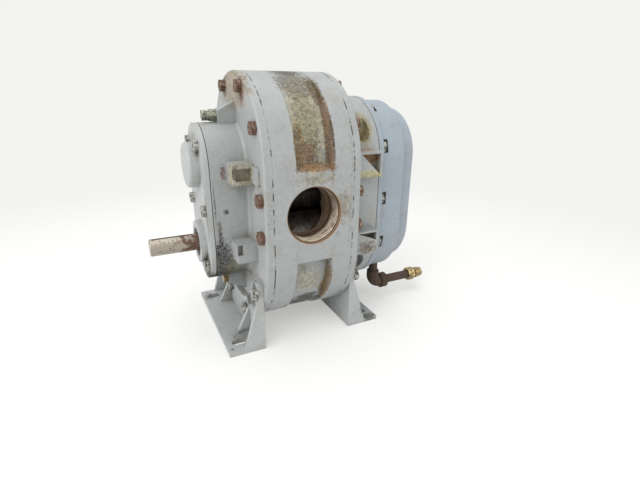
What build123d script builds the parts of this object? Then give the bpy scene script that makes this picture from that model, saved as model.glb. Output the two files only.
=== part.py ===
"""Roots blower / vacuum pump: two figure-eight rotors on 4 inch shaft centres, timed by a pair of gears.

Frame: +X runs along the shafts towards the gear end, +Z is up, the floor is Z = 0 and the pump is
centred on X = Y = 0. The drive shaft is the lower one and comes out at -X. All sizes in millimetres.
"""

import os
from math import acos, cos, pi, radians, sin, sqrt, tan

from build123d import *

os.makedirs("parts", exist_ok=True)

# ================================================================ driving dimensions
INCH = 25.4
CENTRES = 4 * INCH  # between the two shafts, and the pitch diameter of the timing gears
MID_Z = 178.4  # height of the point midway between the shafts
DRIVE_Z = MID_Z - CENTRES / 2
DRIVEN_Z = MID_Z + CENTRES / 2

# cylinder
CASE_R = 110.3  # end radius of the case's two-centred outline
CYL_HALF = 51.6  # half the length of the cylinder
BORE_R = 76.3  # rotor bores
PORT_R = 34.5  # tapped wall of a 2 1/2 in pipe port
PORT_DEPTH = 34.0
PORT_LEAD = 1.4  # bevel at the mouth of a port
PASSAGE_R = 32.0  # plain passage from a port into the rotor bores
PANEL_HALF_X = 23.3  # sunk panels above and below each port
PANEL_DEPTH = 14.0
PANEL_TOP_SILL = 58.6  # from mid height up to the floor of the upper panel
PANEL_SILL_FALL = 7.0  # how far that sill falls towards the outside
PANEL_LOW_SILL = 58.0  # from mid height down to the lower panel

# headplates
FLANGE_T = 10.0
FLANGE_X = CYL_HALF + FLANGE_T  # outer face of a headplate flange
FLANGE_EDGE_R = 2.5
NECK_X = 106.7  # outer face of both bearing housings
DRIVE_NECK_R = 50.4
GEAR_NECK_R = 80.4
SHAFT_HOLE_R = 19.0
SEAL_SEAT_X = 70.0
SUMP_X = 96.0  # floor of the shallow sump round the gear end bearings
SUMP_R = 66.0

# foot lugs cast on the headplates, measured up and down from mid height
DRIVE_LUG = dict(out_x=87.0, out_y=76.0, low=36.0, high=60.0)
GEAR_LUG = dict(out_x=101.0, out_y=96.0, low=36.0, high=68.0)
LUG_CORE_W, LUG_CORE_H, LUG_CORE_DEPTH, LUG_CORE_R = 18.5, 14.5, 8.0, 1.5
LUG_NOTCH_X, LUG_NOTCH_FALL = 83.0, 43.0  # middle of the notch in a lower lug at the drive end
LUG_NOTCH_W, LUG_NOTCH_H, LUG_NOTCH_DEPTH = 6.0, 13.0, 6.0
GEAR_CORE_DEPTH = 12.0
GEAR_CORE_WALL = 3.0  # metal left beside a gear end core
NECK_ROOT_R = 4.0  # where the drive end bearing housing meets its flange
PLUG_LUG_X = 84.0
PLUG_LUG_HALF = 12.0
PLUG_LUG_RISE = 25.0  # beyond the bearing housing, at the flange
PLUG_LUG_FALL = 11.0  # how much lower it is at its outer end
PLUG_RISE = 8.0
PLUG_R = 6.6
PLUG_HOLE_DEPTH = 14.0
PAD_T, PAD_Y, PAD_RISE = 3.0, 86.0, 48.0
PAD_W, PAD_H, PAD_CORNER_R = 24.0, 20.0, 3.0
HOLLOW_X, HOLLOW_RISE = 85.0, 92.0
HOLLOW_HALF_X, HOLLOW_HALF_Z, HOLLOW_DEPTH = 10.0, 15.0, 21.0

# bearings, oil seals and shafts
BEARING_BORE_R, BEARING_OUT_R, BEARING_W = 15.0, 31.0, 16.0
BEARING_INNER_R, BEARING_OUTER_R = 18.75, 27.75  # tracks of the inner and outer rings
BEARING_RIB, BEARING_RIB_T = 1.2, 3.0  # ribs that keep the rollers in the outer ring
ROLLERS = 12
BEARING_X = 80.0  # inner face of each bearing
SEAL_X, SEAL_W, SEAL_R = 72.5, 7.0, 26.0
JOURNAL_R = 17.5  # shaft under the inner oil seals
RUNNING_GAP = 0.06
STUB_R = 7 / 16 * INCH  # drive shaft outside the pump
STUB_X = -180.1
COVER_JOURNAL_R = 12.5
COVER_JOURNAL_X = -119.0
SHAFT_END_BEVEL = 1.2
KEYWAY_W = 3 / 16 * INCH
KEYWAY_X0, KEYWAY_X1 = -177.0, -139.0

# rotors
ROLL_R = CENTRES / 8  # rolling circle of the two-lobed cycloid
ROTOR_GAP = 0.15  # taken off each rotor all round
ROTOR_HALF = CYL_HALF - 0.3
ROTOR_HUB_R = 18.5  # shaft through the rotor

# timing gears
TEETH = 20
MODULE = CENTRES / TEETH
PRESSURE_ANGLE = radians(20)
BACKLASH = 0.3
GEAR_X = 110.0
GEAR_FACE = 20.0
GEAR_SEAT_R = 14.0
GEAR_OUT_X = GEAR_X + GEAR_FACE
GEAR_HUB_R = 19.0  # spacers and washers beside the gears
GEAR_KEY_W, GEAR_KEY_H, GEAR_KEY_OUT = 8.0, 7.0, 17.0
WASHER_T = 3.0
NUT_THREAD_R, NUT_FLATS, NUT_T = 10.0, 30.0, 11.0
THREAD_END_X = 148.0
SLINGER_R, SLINGER_T, SLINGER_HUB_T = 55.0, 1.5, 1.2
RETAINER_T, RETAINER_R = 4.0, 50.0

# drive end cover
GASKET_T = 0.8
DRIVE_COVER_T = 5.6
DRIVE_COVER_X = NECK_X + GASKET_T
BOSS_R = 28.0
SEAL_BOSS_X = 120.7
CAP_X = 127.0
CAP_EDGE_R = 4.5
COVER_SEAL_R = 19.0

# gear cover
GEAR_COVER_X = NECK_X + GASKET_T
COVER_RIM_X = 114.5
COVER_BODY_R, COVER_BODY_X = 75.0, 152.0
COVER_BULGE_R, COVER_BULGE_X = 64.5, 177.5
COVER_WALL = 6.0
COVER_BODY_EDGE_R, COVER_BULGE_EDGE_R = 3.0, 9.0
POCKET_R, POCKET_LENGTH = 9.0, 10.0  # pockets in the body that clear the screw heads
BOSS_WALL = 4.5  # metal round a pocket, inside the cover
LEVEL_FALL = 20.0  # oil level plug below the drive shaft

# feet
FOOT_T = 6.0
FOOT_OUT_X = 109.2
FOOT_HALF_Y = 91.6
FOOT_WEB_T = 7.6
FOOT_EAR_Z = 94.0
FOOT_CLEAR_R = 84.5
GUSSET_T = 6.0
GUSSET_REACH = 88.0
GUSSET_TOP, GUSSET_BENDS = 68.0, [(73.0, 57.0), (84.0, 19.0)]  # outer pair
INNER_GUSSET_Y, INNER_GUSSET_TOP = 49.0, 44.0
SLOT_X, SLOT_Y = 91.0, 71.0
SLOT_W, SLOT_LENGTH = 11.1, 20.0

# drain pipework under the gear cover: 1/4 in pipe
DRAIN_X, DRAIN_Y, DRAIN_Z = 144.0, -25.0, 24.0
PIPE_R = 6.85
ELBOW_R, ELBOW_BAND_R = 9.6, 12.0
ELBOW_BEND = 13.0
ELBOW_BAND = 10.0
ELBOW_LEG = 8.0
DRAIN_TOP_Z = 66.0
FITTING_X0, FITTING_X1 = 212.0, 240.0
FITTING_FLATS, FITTING_HEX, FITTING_SOCKET = 18.4, 12.0, 8.0
FITTING_TAIL = ((224.0, 227.0, 7.0), (227.0, 235.0, 8.6), (235.0, FITTING_X1, 7.4))
FITTING_BORE_R, FITTING_BORE_DEPTH = 4.5, 14.0

# plugs
PLUG_FLATS, PLUG_THREAD = 14.2, 12.0
VENT_HEX, VENT_CAP, VENT_CAP_R = 8.0, 9.0, 6.2
DRAIN_PLUG_HEX = 7.0
LEVEL_SQUARE, LEVEL_HEAD = 9.5, 7.0

# screws: shank radius, size across the flats, height of the head
BOLT_38 = (3 / 16 * INCH, 9 / 16 * INCH, 6.2)
BOLT_516 = (5 / 32 * INCH, 1 / 2 * INCH, 5.4)
BOLT_14 = (1 / 8 * INCH, 7 / 16 * INCH, 4.2)
TAP_GAP = 0.1  # round a screw in its tapped hole
BOLT_GAP = 0.45  # round a bolt in a plain hole
CASE_TAP_DEPTH = 18.0
CASE_GRIP = 16.0  # length of a case bolt inside the cylinder
COVER_TAP_DEPTH, COVER_GRIP = 20.0, 22.0
RETAINER_TAP_DEPTH, RETAINER_GRIP = 12.0, 14.0
DOWEL_R, DOWEL_Y = 4.0, 93.0
DOWEL_HOLE, DOWEL_IN_CASE, DOWEL_IN_PLATE = 10.0, 9.0, 8.0
CASE_BOLT_R = 99.5
CASE_BOLT_ANGLES = (-60, -22, 22, 60)
SIDE_BOLT_RISE = 22.0
DRIVE_COVER_BOLT_R, DRIVE_COVER_BOLT_ANGLE = 37.5, 45
GEAR_COVER_BOLT_R = 72.0
GEAR_COVER_TOP_ANGLES, GEAR_COVER_LOW_ANGLES = (-75, -28, 28, 75), (-80, -30, 30, 80)
RETAINER_SCREW_Y, RETAINER_SCREW_RISE = 14.0, 36.5


# ================================================================ helpers
def station(x, z=MID_Z):
    """Sketch plane across the shafts at x: sketch x is +Y and sketch y is +Z."""
    return Plane(origin=(x, 0, z), x_dir=(0, 1, 0), z_dir=(1, 0, 0))


def side_face(y, z=0.0, x=0.0):
    """Sketch plane on the side of the pump at y, facing outwards: sketch y is +Z."""
    out = 1 if y > 0 else -1
    return Plane(origin=(x, y, z), x_dir=(-out, 0, 0), z_dir=(0, out, 0))


def about_shaft(radius, angle, shaft_z, up):
    """(y, z) at a radius and an angle from the vertical, about one of the shafts."""
    return (radius * sin(radians(angle)), shaft_z + up * radius * cos(radians(angle)))


def save(name, part):
    part.label = name
    export_step(part, f"parts/{name}.step")


def turned(name, z, *steps):
    """A turned piece on a shaft, from (x0, x1, outer radius, inner radius) steps."""
    with BuildPart() as piece:
        for x0, x1, outer, inner in steps:
            with BuildSketch(station(x0, z)):
                Circle(outer)
                if inner:
                    Circle(inner, mode=Mode.SUBTRACT)
            extrude(amount=x1 - x0)
    save(name, piece.part)


def hex_screws(name, places, seat_x, grip, size):
    """Hex-headed screws along X. The heads point away from the middle of the pump."""
    shank_r, across_flats, head = size
    out = 1 if seat_x > 0 else -1
    with BuildPart() as screws:
        with BuildSketch(station(seat_x, 0)):
            with Locations(*places):
                RegularPolygon(across_flats / 2, 6, major_radius=False)
        extrude(amount=out * head)
        with BuildSketch(station(seat_x, 0)):
            with Locations(*places):
                Circle(shank_r)
        extrude(amount=-out * grip)
    save(name, screws.part)


# ================================================================ where the screws go
SHAFTS = [(0, -CENTRES / 2), (0, CENTRES / 2)]
TOP_BOLTS = [about_shaft(CASE_BOLT_R, a, DRIVEN_Z, 1) for a in CASE_BOLT_ANGLES]
FOOT_BOLTS = [about_shaft(CASE_BOLT_R, a, DRIVE_Z, -1) for a in CASE_BOLT_ANGLES]
SIDE_BOLTS = [
    (y, MID_Z + rise)
    for y in (-CASE_BOLT_R, CASE_BOLT_R)
    for rise in (-SIDE_BOLT_RISE, SIDE_BOLT_RISE)
]
CASE_BOLTS = TOP_BOLTS + SIDE_BOLTS
DOWELS = [(-DOWEL_Y, MID_Z), (DOWEL_Y, MID_Z)]
DRIVE_COVER_BOLTS = [
    about_shaft(DRIVE_COVER_BOLT_R, turn * DRIVE_COVER_BOLT_ANGLE, z, up)
    for z, up in ((DRIVEN_Z, 1), (DRIVE_Z, -1))
    for turn in (-1, 1)
]
DRIVE_COVER_BOLTS += [(-DRIVE_COVER_BOLT_R, MID_Z), (DRIVE_COVER_BOLT_R, MID_Z)]
GEAR_COVER_BOLTS = [about_shaft(GEAR_COVER_BOLT_R, a, DRIVEN_Z, 1) for a in GEAR_COVER_TOP_ANGLES]
GEAR_COVER_BOLTS += [about_shaft(GEAR_COVER_BOLT_R, a, DRIVE_Z, -1) for a in GEAR_COVER_LOW_ANGLES]
GEAR_COVER_BOLTS += [(-GEAR_COVER_BOLT_R, MID_Z), (GEAR_COVER_BOLT_R, MID_Z)]
RETAINER_SCREWS = [
    (y, z)
    for y in (-RETAINER_SCREW_Y, RETAINER_SCREW_Y)
    for z in (DRIVE_Z - RETAINER_SCREW_RISE, MID_Z, DRIVEN_Z + RETAINER_SCREW_RISE)
]

# ================================================================ cylinder
# Middle casting: two overlapping rotor bores, a pipe port each side, sunk panels above and below.
with BuildPart() as cylinder:
    with BuildSketch(station(-CYL_HALF)):
        SlotCenterToCenter(CENTRES, 2 * CASE_R, rotation=90)
    extrude(amount=2 * CYL_HALF)
    # sunk panels: full depth at the sides, running out to nothing over the top and underneath
    with BuildSketch(station(-PANEL_HALF_X)):
        SlotCenterToCenter(CENTRES, 2 * CASE_R + 10, rotation=90)
        SlotCenterToCenter(
            CENTRES + 2 * PANEL_DEPTH, 2 * (CASE_R - PANEL_DEPTH), rotation=90, mode=Mode.SUBTRACT
        )
        with Locations((0, (PANEL_TOP_SILL - PANEL_LOW_SILL) / 2)):
            Rectangle(3 * CASE_R, PANEL_TOP_SILL + PANEL_LOW_SILL, mode=Mode.SUBTRACT)
        for side in (-1, 1):
            with BuildLine():
                Polyline(
                    (side * (CASE_R - PANEL_DEPTH), PANEL_TOP_SILL),
                    (side * (CASE_R + 5), PANEL_TOP_SILL - PANEL_SILL_FALL * (1 + 5 / PANEL_DEPTH)),
                    (side * (CASE_R + 5), PANEL_TOP_SILL),
                    close=True,
                )
            make_face()
    extrude(amount=2 * PANEL_HALF_X, mode=Mode.SUBTRACT)
    with BuildSketch(station(-CYL_HALF)):
        with Locations(*SHAFTS):
            Circle(BORE_R)
    extrude(amount=2 * CYL_HALF, mode=Mode.SUBTRACT)
    for side in (-1, 1):
        with BuildSketch(side_face(side * CASE_R, MID_Z)):
            Circle(PORT_R)
        extrude(amount=-PORT_DEPTH, mode=Mode.SUBTRACT)
        with BuildSketch(side_face(side * CASE_R, MID_Z)):
            Circle(PASSAGE_R)
        extrude(amount=-(CASE_R - BORE_R / 2), mode=Mode.SUBTRACT)
    mouths = cylinder.edges().filter_by(GeomType.CIRCLE)
    mouths = mouths.filter_by(lambda edge: abs(edge.radius - PORT_R) < 0.01)
    chamfer(mouths.filter_by(lambda edge: abs(edge.center().Y) > CASE_R - 1), PORT_LEAD)
    for end in (-1, 1):
        with BuildSketch(station(end * CYL_HALF, 0)):
            with Locations(*CASE_BOLTS, *FOOT_BOLTS):
                Circle(BOLT_38[0] + TAP_GAP)
        extrude(amount=-end * CASE_TAP_DEPTH, mode=Mode.SUBTRACT)
        with BuildSketch(station(end * CYL_HALF, 0)):
            with Locations(*DOWELS):
                Circle(DOWEL_R)
        extrude(amount=-end * DOWEL_HOLE, mode=Mode.SUBTRACT)
save("cylinder", cylinder.part)

# ================================================================ drive headplate
# End plate at the drive end: flange, narrow housing for two bearings, four side lugs, two plug lugs.
with BuildPart() as drive_headplate:
    with BuildSketch(station(-CYL_HALF)):
        SlotCenterToCenter(CENTRES, 2 * CASE_R, rotation=90)
    extrude(amount=-FLANGE_T)
    fillet(drive_headplate.faces().sort_by(Axis.X)[0].edges(), FLANGE_EDGE_R)
    with BuildSketch(station(-FLANGE_X)):
        SlotCenterToCenter(CENTRES, 2 * DRIVE_NECK_R, rotation=90)
    extrude(amount=-(NECK_X - FLANGE_X))
    roots = drive_headplate.edges().filter_by(lambda edge: abs(edge.center().X + FLANGE_X) < 0.01)
    roots = roots.filter_by(lambda edge: abs(edge.center().Y) < DRIVE_NECK_R + 1)
    fillet(roots.filter_by(lambda edge: abs(edge.center().Z - MID_Z) < CASE_R), NECK_ROOT_R)
    # plug lugs over and under the bearing housing
    for up in (-1, 1):
        root_z = MID_Z + up * (CENTRES / 2 + DRIVE_NECK_R - 6)
        tip_z = MID_Z + up * (CENTRES / 2 + DRIVE_NECK_R + PLUG_LUG_RISE)
        with BuildSketch(side_face(-PLUG_LUG_HALF)):
            with BuildLine():
                Polyline(
                    (-FLANGE_X, root_z),
                    (-PLUG_LUG_X, root_z),
                    (-PLUG_LUG_X, tip_z - up * PLUG_LUG_FALL),
                    (-FLANGE_X, tip_z),
                    close=True,
                )
            make_face()
        extrude(amount=-2 * PLUG_LUG_HALF)
    # side lugs, and the low pad beside each upper one
    lug_x = -(FLANGE_X + DRIVE_LUG["out_x"]) / 2
    lug_y = (DRIVE_LUG["out_y"] + DRIVE_NECK_R - 8) / 2
    lug_z = (DRIVE_LUG["low"] + DRIVE_LUG["high"]) / 2
    with BuildSketch(station(-FLANGE_X)):
        with Locations(*[(y, z) for y in (-lug_y, lug_y) for z in (-lug_z, lug_z)]):
            Rectangle(DRIVE_LUG["out_y"] - DRIVE_NECK_R + 8, DRIVE_LUG["high"] - DRIVE_LUG["low"])
    extrude(amount=-(DRIVE_LUG["out_x"] - FLANGE_X))
    with BuildSketch(station(-FLANGE_X)):
        with Locations((-PAD_Y, PAD_RISE), (PAD_Y, PAD_RISE)):
            RectangleRounded(PAD_W, PAD_H, PAD_CORNER_R)
    extrude(amount=-PAD_T)
    # the upper lugs are cored from the side, the lower ones only notched at the outer end
    for side in (-1, 1):
        with BuildSketch(side_face(side * DRIVE_LUG["out_y"], MID_Z + lug_z, lug_x)):
            RectangleRounded(LUG_CORE_W, LUG_CORE_H, LUG_CORE_R)
        extrude(amount=-LUG_CORE_DEPTH, mode=Mode.SUBTRACT)
        with BuildSketch(side_face(side * DRIVE_LUG["out_y"], MID_Z - LUG_NOTCH_FALL, -LUG_NOTCH_X)):
            Rectangle(LUG_NOTCH_W, LUG_NOTCH_H)
        extrude(amount=-LUG_NOTCH_DEPTH, mode=Mode.SUBTRACT)
    # shaft holes, oil seal seats and bearing seats
    for from_x, radius in (
        (CYL_HALF, SHAFT_HOLE_R),
        (SEAL_SEAT_X, SEAL_R),
        (BEARING_X, BEARING_OUT_R),
    ):
        with BuildSketch(station(-from_x)):
            with Locations(*SHAFTS):
                Circle(radius)
        extrude(amount=-(NECK_X - from_x), mode=Mode.SUBTRACT)
    # screw holes
    with BuildSketch(station(-FLANGE_X - PAD_T, 0)):
        with Locations(*CASE_BOLTS, *FOOT_BOLTS):
            Circle(BOLT_38[0] + BOLT_GAP)
    extrude(amount=FLANGE_T + PAD_T, mode=Mode.SUBTRACT)
    with BuildSketch(station(-CYL_HALF, 0)):
        with Locations(*DOWELS):
            Circle(DOWEL_R)
    extrude(amount=-DOWEL_IN_PLATE, mode=Mode.SUBTRACT)
    with BuildSketch(station(-PLUG_LUG_X)):
        with Locations(*[(0, up * (CENTRES / 2 + DRIVE_NECK_R + PLUG_RISE)) for up in (-1, 1)]):
            Circle(PLUG_R)
    extrude(amount=PLUG_HOLE_DEPTH, mode=Mode.SUBTRACT)
    with BuildSketch(station(-NECK_X, 0)):
        with Locations(*DRIVE_COVER_BOLTS):
            Circle(BOLT_516[0] + TAP_GAP)
    extrude(amount=COVER_TAP_DEPTH, mode=Mode.SUBTRACT)
save("drive_headplate", drive_headplate.part)

# ================================================================ gear headplate
# End plate at the gear end: flange, wide housing with a shallow sump in its face, four cored lugs.
with BuildPart() as gear_headplate:
    with BuildSketch(station(CYL_HALF)):
        SlotCenterToCenter(CENTRES, 2 * CASE_R, rotation=90)
    extrude(amount=FLANGE_T)
    fillet(gear_headplate.faces().sort_by(Axis.X)[-1].edges(), FLANGE_EDGE_R)
    with BuildSketch(station(FLANGE_X)):
        SlotCenterToCenter(CENTRES, 2 * GEAR_NECK_R, rotation=90)
    extrude(amount=NECK_X - FLANGE_X)
    lug_y = (GEAR_LUG["out_y"] + GEAR_NECK_R - 14) / 2
    lug_z = (GEAR_LUG["low"] + GEAR_LUG["high"]) / 2
    with BuildSketch(station(FLANGE_X)):
        with Locations(*[(y, z) for y in (-lug_y, lug_y) for z in (-lug_z, lug_z)]):
            Rectangle(GEAR_LUG["out_y"] - GEAR_NECK_R + 14, GEAR_LUG["high"] - GEAR_LUG["low"])
    extrude(amount=GEAR_LUG["out_x"] - FLANGE_X)
    # each lug is cored from the side under its far edge, with a slanting web left across the core
    core_x0, core_x1 = FLANGE_X + 3 * GEAR_CORE_WALL, GEAR_LUG["out_x"] - GEAR_CORE_WALL
    for side in (-1, 1):
        for far_z, near_z in (
            (MID_Z + GEAR_LUG["high"] - GEAR_CORE_WALL, MID_Z + GEAR_LUG["low"] + GEAR_CORE_WALL),
            (MID_Z - GEAR_LUG["low"] - GEAR_CORE_WALL, MID_Z - GEAR_LUG["high"] + 6 * GEAR_CORE_WALL),
        ):
            with BuildSketch(side_face(side * GEAR_LUG["out_y"])):
                with BuildLine():
                    Polyline(
                        (-side * core_x0, far_z),
                        (-side * core_x1, far_z),
                        (-side * core_x1, near_z),
                        close=True,
                    )
                make_face()
            extrude(amount=-GEAR_CORE_DEPTH, mode=Mode.SUBTRACT)
        # oval hollows in the shoulders of the housing
        for up in (-1, 1):
            with BuildSketch(side_face(side * GEAR_NECK_R, MID_Z + up * HOLLOW_RISE, HOLLOW_X)):
                Ellipse(HOLLOW_HALF_X, HOLLOW_HALF_Z)
            extrude(amount=-HOLLOW_DEPTH, mode=Mode.SUBTRACT)
    with BuildSketch(station(NECK_X)):
        SlotCenterToCenter(CENTRES, 2 * SUMP_R, rotation=90)
    extrude(amount=-(NECK_X - SUMP_X), mode=Mode.SUBTRACT)
    for from_x, radius in (
        (CYL_HALF, SHAFT_HOLE_R),
        (SEAL_SEAT_X, SEAL_R),
        (BEARING_X, BEARING_OUT_R),
    ):
        with BuildSketch(station(from_x)):
            with Locations(*SHAFTS):
                Circle(radius)
        extrude(amount=SUMP_X - from_x, mode=Mode.SUBTRACT)
    with BuildSketch(station(FLANGE_X, 0)):
        with Locations(*CASE_BOLTS, *FOOT_BOLTS):
            Circle(BOLT_38[0] + BOLT_GAP)
    extrude(amount=-FLANGE_T, mode=Mode.SUBTRACT)
    with BuildSketch(station(CYL_HALF, 0)):
        with Locations(*DOWELS):
            Circle(DOWEL_R)
    extrude(amount=DOWEL_IN_PLATE, mode=Mode.SUBTRACT)
    with BuildSketch(station(SUMP_X, 0)):
        with Locations(*RETAINER_SCREWS):
            Circle(BOLT_14[0] + TAP_GAP)
    extrude(amount=-RETAINER_TAP_DEPTH, mode=Mode.SUBTRACT)
    with BuildSketch(station(NECK_X, 0)):
        with Locations(*GEAR_COVER_BOLTS):
            Circle(BOLT_516[0] + TAP_GAP)
    extrude(amount=-COVER_TAP_DEPTH, mode=Mode.SUBTRACT)
save("gear_headplate", gear_headplate.part)

# ================================================================ drive end cover
# Plate with a domed bearing cap over the driven shaft and a seal boss round the drive shaft. Two
# spigots behind it hold the bearings in.
with BuildPart() as drive_end_cover:
    with BuildSketch(station(-DRIVE_COVER_X)):
        SlotCenterToCenter(CENTRES, 2 * DRIVE_NECK_R, rotation=90)
    extrude(amount=-DRIVE_COVER_T)
    with BuildSketch(station(-DRIVE_COVER_X, DRIVEN_Z)):
        Circle(BOSS_R)
    extrude(amount=-(CAP_X - DRIVE_COVER_X))
    fillet(drive_end_cover.faces().sort_by(Axis.X)[0].edges(), CAP_EDGE_R)
    with BuildSketch(station(-DRIVE_COVER_X, DRIVE_Z)):
        Circle(BOSS_R)
    extrude(amount=-(SEAL_BOSS_X - DRIVE_COVER_X))
    with BuildSketch(station(-DRIVE_COVER_X)):
        with Locations(*SHAFTS):
            Circle(BEARING_OUT_R - 0.05)
    extrude(amount=DRIVE_COVER_X - BEARING_X - BEARING_W)
    with BuildSketch(station(-BEARING_X - BEARING_W)):
        with Locations(*SHAFTS):
            Circle(BEARING_OUTER_R - 1)
    extrude(amount=-(SEAL_BOSS_X - BEARING_X - BEARING_W - 8), mode=Mode.SUBTRACT)
    with BuildSketch(station(-BEARING_X - BEARING_W, DRIVE_Z)):
        Circle(COVER_JOURNAL_R + 2)
    extrude(amount=-(CAP_X - BEARING_X - BEARING_W), mode=Mode.SUBTRACT)
    with BuildSketch(station(-SEAL_BOSS_X, DRIVE_Z)):
        Circle(COVER_SEAL_R)
    extrude(amount=SEAL_W + 0.5, mode=Mode.SUBTRACT)
    with BuildSketch(station(-DRIVE_COVER_X - DRIVE_COVER_T, 0)):
        with Locations(*DRIVE_COVER_BOLTS):
            Circle(BOLT_516[0] + BOLT_GAP)
    extrude(amount=DRIVE_COVER_T, mode=Mode.SUBTRACT)
save("drive_end_cover", drive_end_cover.part)

with BuildPart() as drive_cover_gasket:
    with BuildSketch(station(-NECK_X)):
        SlotCenterToCenter(CENTRES, 2 * DRIVE_NECK_R - 0.6, rotation=90)
        with Locations(*SHAFTS):
            Circle(BEARING_OUT_R, mode=Mode.SUBTRACT)
        with Locations(*[(y, z - MID_Z) for y, z in DRIVE_COVER_BOLTS]):
            Circle(BOLT_516[0] + BOLT_GAP, mode=Mode.SUBTRACT)
    extrude(amount=-GASKET_T)
save("drive_cover_gasket", drive_cover_gasket.part)

# ================================================================ gear cover
# Hollow cover over the timing gears: a rim, a body with a pocket for each screw, a narrower end.
with BuildPart() as gear_cover:
    with BuildSketch(station(GEAR_COVER_X)):
        SlotCenterToCenter(CENTRES, 2 * COVER_BODY_R, rotation=90)
    extrude(amount=COVER_BODY_X - GEAR_COVER_X)
    fillet(gear_cover.faces().sort_by(Axis.X)[-1].edges(), COVER_BODY_EDGE_R)
    with BuildSketch(station(COVER_RIM_X)):
        with Locations(*[(y, z - MID_Z) for y, z in GEAR_COVER_BOLTS]):
            Circle(POCKET_R)
    extrude(amount=POCKET_LENGTH, mode=Mode.SUBTRACT)
    with BuildSketch(station(GEAR_COVER_X)):
        SlotCenterToCenter(CENTRES, 2 * GEAR_NECK_R, rotation=90)
    extrude(amount=COVER_RIM_X - GEAR_COVER_X)
    with BuildSketch(station(COVER_RIM_X)):
        SlotCenterToCenter(CENTRES, 2 * COVER_BULGE_R, rotation=90)
    extrude(amount=COVER_BULGE_X - COVER_RIM_X)
    fillet(gear_cover.faces().sort_by(Axis.X)[-1].edges(), COVER_BULGE_EDGE_R)
    # inside: as deep as the body allows, with a boss left round each pocket
    boss_x = COVER_RIM_X + POCKET_LENGTH + BOSS_WALL
    with BuildSketch(station(GEAR_COVER_X)):
        SlotCenterToCenter(CENTRES, 2 * (COVER_BODY_R - COVER_WALL), rotation=90)
        with Locations(*[(y, z - MID_Z) for y, z in GEAR_COVER_BOLTS]):
            Circle(POCKET_R + BOSS_WALL, mode=Mode.SUBTRACT)
    extrude(amount=boss_x - GEAR_COVER_X, mode=Mode.SUBTRACT)
    with BuildSketch(station(boss_x)):
        SlotCenterToCenter(CENTRES, 2 * (COVER_BODY_R - COVER_WALL), rotation=90)
    extrude(amount=COVER_BODY_X - COVER_WALL - boss_x, mode=Mode.SUBTRACT)
    with BuildSketch(station(GEAR_COVER_X)):
        SlotCenterToCenter(CENTRES, 2 * (COVER_BULGE_R - COVER_WALL), rotation=90)
    extrude(amount=COVER_BULGE_X - COVER_WALL - GEAR_COVER_X, mode=Mode.SUBTRACT)
    with BuildSketch(station(COVER_RIM_X, 0)):
        with Locations(*GEAR_COVER_BOLTS):
            Circle(BOLT_516[0] + BOLT_GAP)
    extrude(amount=-(COVER_RIM_X - GEAR_COVER_X), mode=Mode.SUBTRACT)
    # oil drain underneath and oil level hole in the end
    with BuildSketch(Plane.XY.offset(DRIVE_Z - COVER_BODY_R)):
        with Locations((DRAIN_X, DRAIN_Y)):
            Circle(PIPE_R)
    extrude(amount=DRAIN_TOP_Z - DRIVE_Z + COVER_BODY_R, mode=Mode.SUBTRACT)
    with BuildSketch(station(COVER_BULGE_X, DRIVE_Z - LEVEL_FALL)):
        Circle(PLUG_R)
    extrude(amount=-COVER_WALL, mode=Mode.SUBTRACT)
save("gear_cover", gear_cover.part)

with BuildPart() as gear_cover_gasket:
    with BuildSketch(station(NECK_X)):
        SlotCenterToCenter(CENTRES, 2 * GEAR_NECK_R - 0.6, rotation=90)
        SlotCenterToCenter(CENTRES, 2 * SUMP_R, rotation=90, mode=Mode.SUBTRACT)
        with Locations(*[(y, z - MID_Z) for y, z in GEAR_COVER_BOLTS]):
            Circle(BOLT_516[0] + BOLT_GAP, mode=Mode.SUBTRACT)
    extrude(amount=GASKET_T)
save("gear_cover_gasket", gear_cover_gasket.part)


# ================================================================ rotors
def rotor_curve(angle, lobe):
    """Point of the cycloid outline, pulled into the metal along the line to the pitch point."""
    pitch_r = CENTRES / 2
    sign = 1 if lobe else -1
    arm = pitch_r + sign * ROLL_R
    spin = arm / ROLL_R * angle
    x = arm * cos(angle) - sign * ROLL_R * cos(spin)
    y = arm * sin(angle) - ROLL_R * sin(spin)
    px, py = pitch_r * cos(angle), pitch_r * sin(angle)
    dx, dy = px - x, py - y
    span = sqrt(dx * dx + dy * dy)
    if span < 1e-6:
        return (x, y)
    return (x + sign * ROTOR_GAP * dx / span, y + sign * ROTOR_GAP * dy / span)


def rotor(name, z, tip_angle):
    """Two-lobed rotor. The lobe's curve and the waist's curve meet on the pitch circle."""
    steps = 9
    lobe = [rotor_curve(pi / 2 * (i + 0.15) / (steps - 0.7), True) for i in range(steps)]
    waist = [rotor_curve(pi / 2 * (i + 0.15) / (steps - 0.7), False) for i in range(steps)]
    outline = []
    for quarter in range(4):
        turn = radians(90 * quarter - 45 + tip_angle)
        points = lobe if quarter % 2 == 0 else waist
        outline.append([(x * cos(turn) - y * sin(turn), x * sin(turn) + y * cos(turn)) for x, y in points])
    with BuildPart() as body:
        with BuildSketch(station(-ROTOR_HALF, z)):
            with BuildLine():
                for quarter in range(4):
                    Spline(*outline[quarter])
                    Line(outline[quarter][-1], outline[(quarter + 1) % 4][0])
            make_face()
            Circle(ROTOR_HUB_R, mode=Mode.SUBTRACT)
        extrude(amount=2 * ROTOR_HALF)
    save(name, body.part)


rotor("drive_rotor", DRIVE_Z, 0)
rotor("driven_rotor", DRIVEN_Z, 90)

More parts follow.
